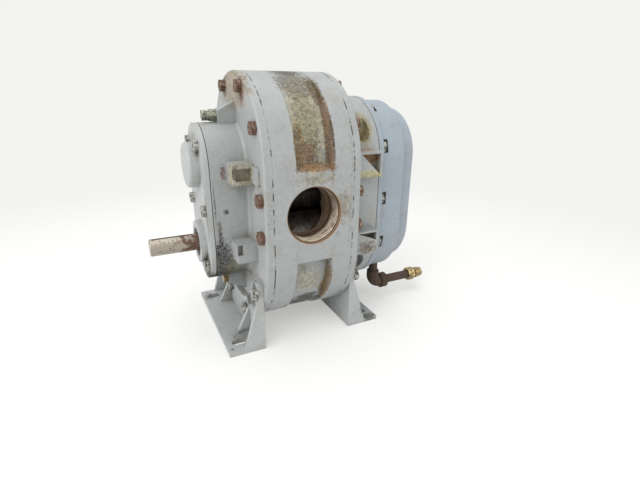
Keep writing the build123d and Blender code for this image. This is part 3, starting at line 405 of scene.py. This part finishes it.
def joint_dirt(tree, place, shade):
    """Black oil in dashes along the joints between the cylinder and its headplates."""
    along = add(tree, "ShaderNodeSeparateXYZ", {0: place}).outputs["X"]
    out = add(tree, "ShaderNodeMath", {0: along}, operation="ABSOLUTE").outputs[0]
    off = add(tree, "ShaderNodeMath", {0: out, 1: JOINT_X}, operation="SUBTRACT").outputs[0]
    away = add(tree, "ShaderNodeMath", {0: off}, operation="ABSOLUTE").outputs[0]
    line = add(
        tree,
        "ShaderNodeMapRange",
        {"Value": away, "From Min": 1.0 * MM, "From Max": 0.4 * MM},
        interpolation_type="SMOOTHSTEP",
    ).outputs["Result"]
    breaks = add(
        tree, "ShaderNodeTexNoise", {"Vector": place, "Scale": per_mm(11), "Detail": 3.0, "Roughness": 0.65}
    ).outputs["Fac"]
    dashes = add(
        tree,
        "ShaderNodeMapRange",
        {
            "Value": breaks,
            "From Min": 0.47,
            "From Max": 0.56,
        },
        interpolation_type="SMOOTHSTEP",
    ).outputs["Result"]
    mask = add(tree, "ShaderNodeMath", {0: line, 1: dashes}, operation="MULTIPLY").outputs[0]
    return add(
        tree,
        "ShaderNodeMix",
        {"Factor": mask, "A": shade, "B": rgba(hex_colour("#2A2622"))},
        data_type="RGBA",
    ).outputs["Result"]


def machine_enamel(name, colour, stains_and_shade, finish, bare=None):
    """Alkyd enamel brushed over rough cast iron: soft sheen, cast texture under it, chips to dark primer.

    bare takes (tree, place) and returns a mask of surfaces that were never painted.
    """
    material, tree, output, place = start_material(name)
    drift = add(
        tree, "ShaderNodeTexNoise", {"Vector": place, "Scale": per_mm(70), "Detail": 3.0, "Roughness": 0.5}
    )
    aged = tuple(c * f for c, f in zip(colour, (0.86, 0.87, 0.84)))
    shade = add(
        tree,
        "ShaderNodeMix",
        {"Factor": drift.outputs["Fac"], "A": rgba(colour), "B": rgba(aged)},
        data_type="RGBA",
    ).outputs["Result"]
    rough = add(
        tree, "ShaderNodeMapRange", {"Value": drift.outputs["Fac"], "To Min": 0.38, "To Max": 0.55}
    ).outputs["Result"]
    # corners darkened towards the grime colour by an ambient-occlusion mask, ragged by a 12 mm noise: a thin
    # film of dirt, and painted shade
    closed = add(tree, "ShaderNodeAmbientOcclusion", {"Distance": 16 * MM}, samples=6)
    film = add(
        tree, "ShaderNodeTexNoise", {"Vector": place, "Scale": per_mm(12), "Detail": 5.0, "Roughness": 0.7}
    )
    deep = add(tree, "ShaderNodeMath", {0: 1.0, 1: closed.outputs["AO"]}, operation="SUBTRACT")
    corner = add(
        tree,
        "ShaderNodeMath",
        {0: film.outputs["Fac"], 1: 0.9, 2: deep.outputs[0]},
        operation="MULTIPLY_ADD",
    )
    dirt = add(
        tree,
        "ShaderNodeMapRange",
        {"Value": corner.outputs[0], "From Min": 0.84, "From Max": 1.25, "To Max": finish.wear},
        interpolation_type="SMOOTHSTEP",
    )
    shade = add(
        tree,
        "ShaderNodeMix",
        {"Factor": dirt.outputs["Result"], "A": shade, "B": rgba(finish.grime_and_shade)},
        data_type="RGBA",
    ).outputs["Result"]
    # handling dirt: 4 mm mottle everywhere, and pale brown smears of 28 mm
    fine = add(
        tree, "ShaderNodeTexNoise", {"Vector": place, "Scale": per_mm(4), "Detail": 5.0, "Roughness": 0.7}
    ).outputs["Fac"]
    mottle = add(
        tree,
        "ShaderNodeMapRange",
        {
            "Value": fine,
            "From Min": 0.3,
            "From Max": 0.7,
            "To Max": 0.32,
        },
        interpolation_type="SMOOTHSTEP",
    ).outputs["Result"]
    shade = add(
        tree,
        "ShaderNodeMix",
        {"Factor": mottle, "A": shade, "B": rgba([c * 0.62 for c in colour])},
        data_type="RGBA",
    ).outputs["Result"]
    broad = add(
        tree, "ShaderNodeTexNoise", {"Vector": place, "Scale": per_mm(28), "Detail": 6.0, "Roughness": 0.72}
    ).outputs["Fac"]
    smears = add(
        tree,
        "ShaderNodeMapRange",
        {
            "Value": broad,
            "From Min": 0.5,
            "From Max": 0.68,
            "To Max": 0.55 * finish.wear,
        },
        interpolation_type="SMOOTHSTEP",
    ).outputs["Result"]
    shade = add(
        tree,
        "ShaderNodeMix",
        {"Factor": smears, "A": shade, "B": rgba(hex_colour("#8B8779"))},
        data_type="RGBA",
    ).outputs["Result"]
    shade = joint_dirt(tree, place, shade)
    # chips of about 3 mm that come in patches of about 45 mm
    patch = add(tree, "ShaderNodeTexNoise", {"Vector": place, "Scale": per_mm(45), "Detail": 2.0})
    speck = add(
        tree, "ShaderNodeTexNoise", {"Vector": place, "Scale": per_mm(3.2), "Detail": 3.0, "Roughness": 0.6}
    )
    both = add(
        tree,
        "ShaderNodeMath",
        {0: patch.outputs["Fac"], 1: 0.45, 2: speck.outputs["Fac"]},
        operation="MULTIPLY_ADD",
    )
    chips = add(
        tree,
        "ShaderNodeMapRange",
        {"Value": both.outputs[0], "From Min": 1.0, "From Max": 1.03, "To Max": finish.wear},
    )
    shade = add(
        tree,
        "ShaderNodeMix",
        {"Factor": chips.outputs["Result"], "A": shade, "B": rgba(hex_colour("#413930"))},
        data_type="RGBA",
    ).outputs["Result"]
    shade, rough = lay_stains_and_shade(tree, place, shade, rough, stains_and_shade)
    if bare:
        mask = bare(tree, place)
        # bare iron, with light and dark bands at the pitch of the port threads: tool marks, and painted
        # highlight and shade of thread crests
        cloud = add(
            tree, "ShaderNodeTexNoise", {"Vector": place, "Scale": per_mm(8), "Detail": 6.0, "Roughness": 0.7}
        ).outputs["Fac"]
        mottled = add(
            tree,
            "ShaderNodeMix",
            {
                "Factor": cloud,
                "A": rgba(hex_colour("#4A3528")),
                "B": rgba(hex_colour("#8F7660")),
            },
            data_type="RGBA",
        ).outputs["Result"]
        depth = add(tree, "ShaderNodeSeparateXYZ", {0: place}).outputs["Y"]
        turn = add(tree, "ShaderNodeMath", {0: depth, 1: 2 * math.pi / PORT_PITCH}, operation="MULTIPLY")
        marks = add(tree, "ShaderNodeMath", {0: turn.outputs[0]}, operation="SINE").outputs[0]
        iron = add(
            tree,
            "ShaderNodeMix",
            {
                "Factor": add(
                    tree,
                    "ShaderNodeMapRange",
                    {"Value": marks, "From Min": 0.1, "From Max": 0.9, "To Max": 0.75},
                    interpolation_type="SMOOTHSTEP",
                ).outputs["Result"],
                "A": mottled,
                "B": rgba(hex_colour("#B7A48C")),
            },
            data_type="RGBA",
        ).outputs["Result"]
        shade = add(
            tree, "ShaderNodeMix", {"Factor": mask, "A": shade, "B": iron}, data_type="RGBA"
        ).outputs["Result"]
        rough = add(
            tree, "ShaderNodeMix", {"Factor": mask, "A": rough, "B": 0.7}, data_type="FLOAT"
        ).outputs["Result"]
    # sand-cast texture of about 2.5 mm under the paint, and edges rounded by 1 mm
    casting = add(
        tree, "ShaderNodeTexNoise", {"Vector": place, "Scale": per_mm(2.5), "Detail": 4.0, "Roughness": 0.6}
    )
    rounding = add(tree, "ShaderNodeBevel", {"Radius": 1.0 * MM}, samples=4)
    relief = add(
        tree,
        "ShaderNodeBump",
        {
            "Strength": 0.25,
            "Distance": 0.5 * MM,
            "Height": casting.outputs["Fac"],
            "Normal": rounding.outputs["Normal"],
        },
    )
    paint = add(
        tree,
        "ShaderNodeBsdfPrincipled",
        {
            "Base Color": shade,
            "Roughness": rough,
            "IOR": 1.5,
            "Specular IOR Level": 0.45,
            "Normal": relief.outputs["Normal"],
        },
    )
    tree.links.new(paint.outputs[0], output.inputs["Surface"])
    return material


def inside_cylinder(tree, place):
    """Mask of the tapped ports and the rotor bores, which were never painted."""
    axis = add(tree, "ShaderNodeSeparateXYZ", {0: place})
    lower, upper = SHAFT_Z
    rise = add(tree, "ShaderNodeMath", {0: axis.outputs["Z"], 1: (lower + upper) / 2}, operation="SUBTRACT")
    from_port = add(
        tree, "ShaderNodeCombineXYZ", {"X": axis.outputs["X"], "Y": 0.0, "Z": rise.outputs[0]}
    )
    port_r = add(tree, "ShaderNodeVectorMath", {0: from_port.outputs[0]}, operation="LENGTH")
    in_port = add(
        tree,
        "ShaderNodeMapRange",
        {"Value": port_r.outputs["Value"], "From Min": PORT_MASK[0], "From Max": PORT_MASK[1]},
    )
    masks = [in_port.outputs["Result"]]
    for shaft_z in SHAFT_Z:
        drop = add(tree, "ShaderNodeMath", {0: axis.outputs["Z"], 1: shaft_z}, operation="SUBTRACT")
        across = add(
            tree, "ShaderNodeCombineXYZ", {"X": 0.0, "Y": axis.outputs["Y"], "Z": drop.outputs[0]}
        )
        bore_r = add(tree, "ShaderNodeVectorMath", {0: across.outputs[0]}, operation="LENGTH")
        in_bore = add(
            tree,
            "ShaderNodeMapRange",
            {"Value": bore_r.outputs["Value"], "From Min": BORE_MASK[0], "From Max": BORE_MASK[1]},
        )
        masks.append(in_bore.outputs["Result"])
    first = add(tree, "ShaderNodeMath", {0: masks[0], 1: masks[1]}, operation="MAXIMUM")
    return add(tree, "ShaderNodeMath", {0: first.outputs[0], 1: masks[2]}, operation="MAXIMUM").outputs[0]


def aged_metal(
    name, lighter, dirty, share, patch, metallic=0.9, rough=(0.35, 0.8), lines=0.0, dark=None, browner=None
):
    """Bare metal that has gone brown: clean metal shows through a ragged skin of rust or dirt.

    share is how much is skinned over and patch the size of its patches in millimetres. lines gives lathe
    marks along X, spaced 2 pi times that many millimetres. browner is the X at which the skin starts to
    thicken and the X at which it is whole.
    """
    material, tree, output, place = start_material(name)
    breakup = add(
        tree, "ShaderNodeTexNoise", {"Vector": place, "Scale": per_mm(patch), "Detail": 6.0, "Roughness": 0.7}
    )
    level = breakup.outputs["Fac"]
    if browner:
        along = add(tree, "ShaderNodeSeparateXYZ", {0: place}).outputs["X"]
        extra = add(
            tree,
            "ShaderNodeMapRange",
            {"Value": along, "From Min": browner[0] * MM, "From Max": browner[1] * MM, "To Max": 0.13},
            interpolation_type="SMOOTHSTEP",
        ).outputs["Result"]
        level = add(tree, "ShaderNodeMath", {0: level, 1: extra}, operation="ADD").outputs[0]
    skin = add(
        tree,
        "ShaderNodeMapRange",
        {"Value": level, "From Min": 0.72 - share * 0.5, "From Max": 0.86 - share * 0.5},
        interpolation_type="SMOOTHSTEP",
    ).outputs["Result"]
    mottle = add(
        tree,
        "ShaderNodeTexNoise",
        {"Vector": place, "Scale": per_mm(patch / 3), "Detail": 4.0, "Roughness": 0.7},
    )
    spread = add(
        tree, "ShaderNodeMapRange", {"Value": mottle.outputs["Fac"], "From Min": 0.35, "From Max": 0.65}
    )
    deeper = dark or tuple(c * 0.4 for c in dirty)
    brown = add(
        tree,
        "ShaderNodeMix",
        {"Factor": spread.outputs["Result"], "A": rgba(deeper), "B": rgba(dirty)},
        data_type="RGBA",
    )
    shade = add(
        tree,
        "ShaderNodeMix",
        {"Factor": skin, "A": rgba(lighter), "B": brown.outputs["Result"]},
        data_type="RGBA",
    )
    metal = add(tree, "ShaderNodeMapRange", {"Value": skin, "To Min": metallic, "To Max": 0.0})
    sheen = add(tree, "ShaderNodeMapRange", {"Value": skin, "To Min": rough[0], "To Max": rough[1]})
    height = mottle.outputs["Fac"]
    if lines:
        turning = add(
            tree,
            "ShaderNodeTexWave",
            {"Vector": place, "Scale": per_mm(lines) / WAVE_RADIANS, "Distortion": 0.6},
            wave_type="BANDS",
            bands_direction="X",
        )
        height = add(
            tree, "ShaderNodeMath", {0: turning.outputs["Fac"], 1: height}, operation="ADD"
        ).outputs[0]
    rounding = add(tree, "ShaderNodeBevel", {"Radius": 0.5 * MM}, samples=4)
    relief = add(
        tree,
        "ShaderNodeBump",
        {"Strength": 0.5, "Distance": 0.3 * MM, "Height": height, "Normal": rounding.outputs["Normal"]},
    )
    surface = add(
        tree,
        "ShaderNodeBsdfPrincipled",
        {
            "Base Color": shade.outputs["Result"],
            "Metallic": metal.outputs["Result"],
            "Roughness": sheen.outputs["Result"],
            "Normal": relief.outputs["Normal"],
        },
    )
    tree.links.new(surface.outputs[0], output.inputs["Surface"])
    return material


def thread_iron():
    """Tapped cast iron: crests rubbed bright and painted brighter as a highlight, with brown dirt and painted
    shade left in the roots of the thread.
    """
    material, tree, output, place = start_material("Tapped iron, rubbed and lit crests")
    axis = add(tree, "ShaderNodeSeparateXYZ", {0: place})
    rise = add(tree, "ShaderNodeMath", {0: axis.outputs["Z"], 1: sum(SHAFT_Z) / 2}, operation="SUBTRACT")
    across = add(tree, "ShaderNodeCombineXYZ", {"X": axis.outputs["X"], "Y": 0.0, "Z": rise.outputs[0]})
    radius = add(tree, "ShaderNodeVectorMath", {0: across.outputs[0]}, operation="LENGTH").outputs["Value"]
    crest = add(
        tree,
        "ShaderNodeMapRange",
        {"Value": radius, "From Min": CREST_MASK[0], "From Max": CREST_MASK[1]},
        interpolation_type="SMOOTHSTEP",
    ).outputs["Result"]
    # painted light: the lower side of the port, which faces up, is painted bright, and the side that hangs
    # over stays brown as painted shade
    upward_lit_side = add(
        tree, "ShaderNodeVectorMath", {0: across.outputs[0], 1: (0.5, 0.0, -0.85)}, operation="DOT_PRODUCT"
    ).outputs["Value"]
    rub = add(
        tree, "ShaderNodeTexNoise", {"Vector": place, "Scale": per_mm(9), "Detail": 4.0, "Roughness": 0.65}
    ).outputs["Fac"]
    worn = add(
        tree,
        "ShaderNodeMapRange",
        {
            "Value": rub,
            "From Min": 0.3,
            "From Max": 0.6,
            "To Min": 0.25,
        },
        interpolation_type="SMOOTHSTEP",
    ).outputs["Result"]
    bright = add(
        tree,
        "ShaderNodeMath",
        {
            0: worn,
            1: add(
                tree,
                "ShaderNodeMapRange",
                {"Value": upward_lit_side, "From Min": 0.0, "From Max": 28 * MM, "To Min": 0.25},
                interpolation_type="SMOOTHSTEP",
            ).outputs["Result"],
        },
        operation="MULTIPLY",
    ).outputs[0]
    rubbed = add(tree, "ShaderNodeMath", {0: crest, 1: bright}, operation="MULTIPLY").outputs[0]
    # near white on the crests is rubbed iron and painted highlight; the dark brown is root dirt and painted
    # shade
    shade = add(
        tree,
        "ShaderNodeMix",
        {"Factor": rubbed, "A": rgba(hex_colour("#5C4434")), "B": rgba(hex_colour("#F0E2CC"))},
        data_type="RGBA",
    ).outputs["Result"]
    surface = add(
        tree,
        "ShaderNodeBsdfPrincipled",
        {
            "Base Color": shade,
            "Roughness": add(
                tree,
                "ShaderNodeMapRange",
                {"Value": rubbed, "From Min": 0.0, "From Max": 1.0, "To Min": 0.75, "To Max": 0.4},
                interpolation_type="SMOOTHSTEP",
            ).outputs["Result"],
            "Metallic": 0.2,
        },
    )
    tree.links.new(surface.outputs[0], output.inputs["Surface"])
    return material


def sheet_material(name, colour, rough, grain):
    """Soft dull sheet or moulding, such as nitrile rubber or fibre gasket, mottled by oil."""
    material, tree, output, place = start_material(name)
    oil = add(
        tree, "ShaderNodeTexNoise", {"Vector": place, "Scale": per_mm(grain), "Detail": 5.0, "Roughness": 0.7}
    )
    shade = add(
        tree,
        "ShaderNodeMix",
        {"Factor": oil.outputs["Fac"], "A": rgba([c * 0.4 for c in colour]), "B": rgba(colour)},
        data_type="RGBA",
    )
    relief = add(
        tree, "ShaderNodeBump", {"Strength": 0.3, "Distance": 0.2 * MM, "Height": oil.outputs["Fac"]}
    )
    surface = add(
        tree,
        "ShaderNodeBsdfPrincipled",
        {"Base Color": shade.outputs["Result"], "Roughness": rough, "Normal": relief.outputs["Normal"]},
    )
    tree.links.new(surface.outputs[0], output.inputs["Surface"])
    return material


def paint(material, *names):
    for name in names:
        for slot in NODES[name].material_slots:
            slot.material = material


def shaft_height(node):
    low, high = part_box(node)
    return (low[2] + high[2]) / 2


SHAFT_Z = (shaft_height("drive_rotor"), shaft_height("driven_rotor"))
JOINT_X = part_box("cylinder")[1][0]


# ---------------------------------------------------------------- operators
class PUMP_OT_castings(bpy.types.Operator):
    """Worn enamel on the cylinder, headplates, covers and feet"""

    bl_idname = "pump.castings"
    bl_label = "Castings and feet"

    def execute(self, context):
        finish = context.scene.pump_finish
        grey, blue = tuple(finish.enamel), tuple(finish.cover_enamel)
        # the drive end cover and the feet get a lighter copy of the enamel: painted light for the stronger
        # light on them, and on the feet their lighter paint as well
        lighter = tuple(min(1, c * 1.2) for c in grey)
        for node, colour, stains_and_shade, bare in (
            ("cylinder", grey, CYLINDER_STAINS_AND_SHADE, inside_cylinder),
            ("drive_headplate", grey, DRIVE_PLATE_STAINS_AND_SHADE, None),
            ("gear_headplate", grey, GEAR_PLATE_STAINS_AND_SHADE, None),
            ("drive_end_cover", lighter, DRIVE_COVER_STAINS, None),
            ("gear_cover", blue, COVER_STAINS_AND_SHADE, None),
            ("drive_foot", lighter, DRIVE_FOOT_STAINS, None),
            ("gear_foot", lighter, GEAR_FOOT_STAINS, None),
        ):
            name = f"Machine enamel, {node.replace('_', ' ')}"
            paint(machine_enamel(name, colour, stains_and_shade, finish, bare), node)
        return {"FINISHED"}


class PUMP_OT_screws(bpy.types.Operator):
    """Rusty case screws, oily cover screws and the plugs"""

    bl_idname = "pump.screws"
    bl_label = "Screws and plugs"

    def execute(self, context):
        finish = context.scene.pump_finish
        rusty = aged_metal(
            "Rusted steel screws",
            hex_colour("#96887C"),
            tuple(finish.rust),
            0.68,
            patch=3,
            dark=hex_colour("#33241C"),
        )
        paint(rusty, "drive_headplate_bolts", "gear_headplate_bolts")
        painted = aged_metal(
            "Painted steel screws",
            hex_colour("#A3A49E"),
            hex_colour("#5F584B"),
            0.55,
            metallic=0.0,
            rough=(0.45, 0.8),
            patch=5,
            dark=hex_colour("#2B2721"),
        )
        paint(painted, "drive_cover_bolts", "gear_cover_bolts", "gear_foot_bolts", "drive_foot_bolts")
        paint(painted, "level_plug")
        breather = aged_metal(
            "Oily zinc-plated vent plug",
            hex_colour("#9A9C8C"),
            hex_colour("#3B3A2C"),
            0.5,
            patch=3,
            dark=hex_colour("#15150F"),
        )
        paint(breather, "vent_plug")
        brass = aged_metal(
            "Dull brass",
            hex_colour("#A8946A"),
            hex_colour("#5E4E36"),
            0.5,
            metallic=1.0,
            rough=(0.32, 0.65),
            patch=4,
        )
        paint(brass, "drain_plug", "drain_fitting")
        return {"FINISHED"}


class PUMP_OT_running_gear(bpy.types.Operator):
    """Shafts, rotors, timing gears, bearings and the rest inside"""

    bl_idname = "pump.running_gear"
    bl_label = "Running gear"

    def execute(self, context):
        finish = context.scene.pump_finish
        shaft = aged_metal(
            "Ground steel shaft, surface rust",
            hex_colour("#A0978C"),
            tuple(finish.rust),
            0.42,
            metallic=0.6,
            rough=(0.35, 0.65),
            patch=7,
            lines=0.8,
            dark=hex_colour("#4A3A31"),
            browner=(-150, -132),
        )
        paint(shaft, "drive_shaft", "driven_shaft")
        iron = aged_metal(
            "Machined grey iron",
            hex_colour("#5C5854"),
            hex_colour("#4A3A2C"),
            0.5,
            metallic=0.7,
            patch=12,
            lines=1.2,
        )
        paint(iron, "drive_rotor", "driven_rotor")
        steel = aged_metal(
            "Oiled machined steel",
            hex_colour("#8C8A86"),
            hex_colour("#4B4439"),
            0.25,
            rough=(0.25, 0.5),
            patch=10,
        )
        oiled = ("timing_gear", "gear_key", "spacer", "washer", "_nut", "slinger")
        oiled += ("retainer", "dowel", "rollers")
        paint(steel, *[n for n in NODES if n.endswith("ring") or any(word in n for word in oiled)])
        rubber = sheet_material("Nitrile rubber seals", hex_colour("#2A2826"), 0.55, 6)
        paint(rubber, *[n for n in NODES if "oil_seal" in n])
        fibre = sheet_material("Oiled fibre gasket", hex_colour("#3E382E"), 0.8, 4)
        paint(fibre, *[n for n in NODES if "gasket" in n])
        return {"FINISHED"}


class PUMP_OT_pipework(bpy.types.Operator):
    """Black malleable iron drain elbow and nipple"""

    bl_idname = "pump.pipework"
    bl_label = "Drain pipework"

    def execute(self, context):
        iron = aged_metal(
            "Malleable iron, oily rust",
            hex_colour("#5B4A3E"),
            hex_colour("#5A4536"),
            0.85,
            metallic=0.3,
            patch=5,
            dark=hex_colour("#2A211B"),
        )
        paint(iron, "drain_elbow", "drain_nipple")
        return {"FINISHED"}


class PUMP_OT_port_threads(bpy.types.Operator):
    """Helical crests of the pipe thread in both ports"""

    bl_idname = "pump.port_threads"
    bl_label = "Port threads"

    def execute(self, context):
        sizes = context.scene.pump_sizes
        crest = thread_iron()
        low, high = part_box("cylinder")
        middle = sum(SHAFT_Z) / 2
        for name, mouth, inward in (("front_port_thread", low[1], 1), ("back_port_thread", high[1], -1)):
            piece = helix(name, mouth, inward, middle, sizes.port_pitch, sizes.port_depth)
            piece.data.materials.append(crest)
            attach(piece, "housing")
        return {"FINISHED"}


def helix(name, mouth, inward, middle, pitch, height):
    """Internal thread as one helical ridge that fades out at both ends."""
    mesh = bpy.data.meshes.new(name)
    build = bmesh.new()
    rows = []
    for step in range(THREAD_TURNS * STEPS_A_TURN + 1):
        share = step / (THREAD_TURNS * STEPS_A_TURN)
        fade = min(1, share * THREAD_TURNS * 1.5, (1 - share) * THREAD_TURNS / 4)
        angle = 2 * math.pi * step / STEPS_A_TURN
        depth = mouth + inward * (FIRST_CREST + pitch * (0.5 + step / STEPS_A_TURN))
        row = []
        for across, inside in ((-0.4, 0.0), (-0.12, 1.0), (0.12, 1.0), (0.4, 0.0)):
            radius = RIDGE_ROOT_R - height * inside * fade
            row.append(
                build.verts.new(
                    (radius * math.cos(angle), depth + across * pitch, middle + radius * math.sin(angle))
                )
            )
        rows.append(row)
    for here, there in zip(rows, rows[1:]):
        for i in range(4):
            j = (i + 1) % 4
            build.faces.new((here[i], here[j], there[j], there[i]))
    build.faces.new(rows[0])
    build.faces.new(rows[-1])
    bmesh.ops.recalc_face_normals(build, faces=build.faces)
    build.to_mesh(mesh)
    build.free()
    mesh.shade_smooth()
    piece = bpy.data.objects.new(name, mesh)
    bpy.context.scene.collection.objects.link(piece)
    return piece


class PUMP_OT_stage(bpy.types.Operator):
    """Plain pale floor, soft studio light and the camera"""

    bl_idname = "pump.stage"
    bl_label = "Stage"

    def execute(self, context):
        scene = context.scene
        sizes = scene.pump_sizes
        bpy.ops.mesh.primitive_plane_add(size=sizes.floor, location=(0, 0, 0))
        floor = context.active_object
        floor.name = "floor"
        material, tree, output, place = start_material("White table top")
        matte = add(
            tree, "ShaderNodeBsdfPrincipled", {"Base Color": rgba(hex_colour("#F4F4F3")), "Roughness": 0.7}
        )
        glow = add(tree, "ShaderNodeEmission", {"Color": rgba(hex_colour(BACKDROP_HEX)), "Strength": 1.0})
        # seen by the camera, the floor lifts its shadows and runs out into the backdrop
        away = add(tree, "ShaderNodeVectorMath", {0: place}, operation="LENGTH").outputs["Value"]
        share = add(
            tree,
            "ShaderNodeMapRange",
            {"Value": away, "From Min": FLOOR_FADE[0], "From Max": FLOOR_FADE[1], "To Min": 0.45},
            interpolation_type="SMOOTHSTEP",
        ).outputs["Result"]
        lift = add(
            tree, "ShaderNodeMath", {0: share, 1: seen_as_backdrop(tree)}, operation="MULTIPLY"
        ).outputs[0]
        cover = add(tree, "ShaderNodeMixShader", {0: lift, 1: matte.outputs[0], 2: glow.outputs[0]})
        tree.links.new(cover.outputs[0], output.inputs["Surface"])
        floor.data.materials.append(material)

        world = bpy.data.worlds.new("Pale studio")
        world.use_nodes = True
        tree = world.node_tree
        tree.nodes.clear()
        seen = seen_as_backdrop(tree)
        ambient = add(tree, "ShaderNodeBackground", {"Color": rgba(hex_colour("#F5F5F4")), "Strength": 0.58})
        backdrop = add(
            tree, "ShaderNodeBackground", {"Color": rgba(hex_colour(BACKDROP_HEX)), "Strength": 1.0}
        )
        mixed = add(
            tree, "ShaderNodeMixShader", {0: seen, 1: ambient.outputs[0], 2: backdrop.outputs[0]}
        )
        out = add(tree, "ShaderNodeOutputWorld")
        tree.links.new(mixed.outputs[0], out.inputs["Surface"])
        scene.world = world

        for name, place, size, power in (
            ("key_light", (-1.3, -1.2, 1.9), 1.6, 27),
            ("fill_light", (1.3, -1.5, 0.9), 1.6, 9),
            ("top_light", (0.2, 0.3, 2.2), 2.4, 24),
            ("side_light", (-2.1, -0.2, 0.8), 1.4, 16),
        ):
            lamp = bpy.data.lights.new(name, "AREA")
            lamp.shape = "DISK"
            lamp.size = size
            lamp.energy = power
            holder = bpy.data.objects.new(name, lamp)
            holder.location = place
            aim = Vector(LAMP_TARGET) - Vector(place)
            holder.rotation_euler = aim.to_track_quat("-Z", "Y").to_euler()
            scene.collection.objects.link(holder)

        scene.view_settings.view_transform = "Standard"
        lens = bpy.data.cameras.new("camera")
        lens.sensor_width = SENSOR_WIDTH
        lens.lens = FOCAL_LENGTH
        lens.clip_start = 0.01
        camera = bpy.data.objects.new("camera", lens)
        stand = Matrix.Translation(Vector(CAMERA_PLACE) * MM)
        turn = Matrix.Rotation(-CAMERA_HEADING, 4, "Z") @ Matrix.Rotation(math.pi / 2 + CAMERA_PITCH, 4, "X")
        camera.matrix_world = stand @ turn @ Matrix.Rotation(CAMERA_ROLL, 4, "Z")
        scene.collection.objects.link(camera)
        scene.camera = camera
        return {"FINISHED"}


class PUMP_PT_panel(bpy.types.Panel):
    """Lists the pump's operators and settings"""

    bl_idname = "PUMP_PT_panel"
    bl_label = "Roots pump"
    bl_space_type = "VIEW_3D"
    bl_region_type = "UI"
    bl_category = "Pump"

    def draw(self, context):
        layout = self.layout
        for operator in OPERATORS:
            layout.operator(operator.bl_idname)
        for group in (context.scene.pump_finish, context.scene.pump_sizes):
            for name in group.bl_rna.properties.keys():
                if name not in ("rna_type", "name"):
                    layout.prop(group, name)


OPERATORS = (
    PUMP_OT_stage,
    PUMP_OT_castings,
    PUMP_OT_running_gear,
    PUMP_OT_screws,
    PUMP_OT_pipework,
    PUMP_OT_port_threads,
)
CLASSES = (PumpFinish, PumpSizes, *OPERATORS, PUMP_PT_panel)


def register():
    for item in CLASSES:
        bpy.utils.register_class(item)
    bpy.types.Scene.pump_finish = bpy.props.PointerProperty(type=PumpFinish)
    bpy.types.Scene.pump_sizes = bpy.props.PointerProperty(type=PumpSizes)


def unregister():
    del bpy.types.Scene.pump_finish
    del bpy.types.Scene.pump_sizes
    for item in reversed(CLASSES):
        bpy.utils.unregister_class(item)


def main():
    register()
    for operator in OPERATORS:
        group, name = operator.bl_idname.split(".")
        getattr(getattr(bpy.ops, group), name)()


if __name__ == "__main__":
    main()
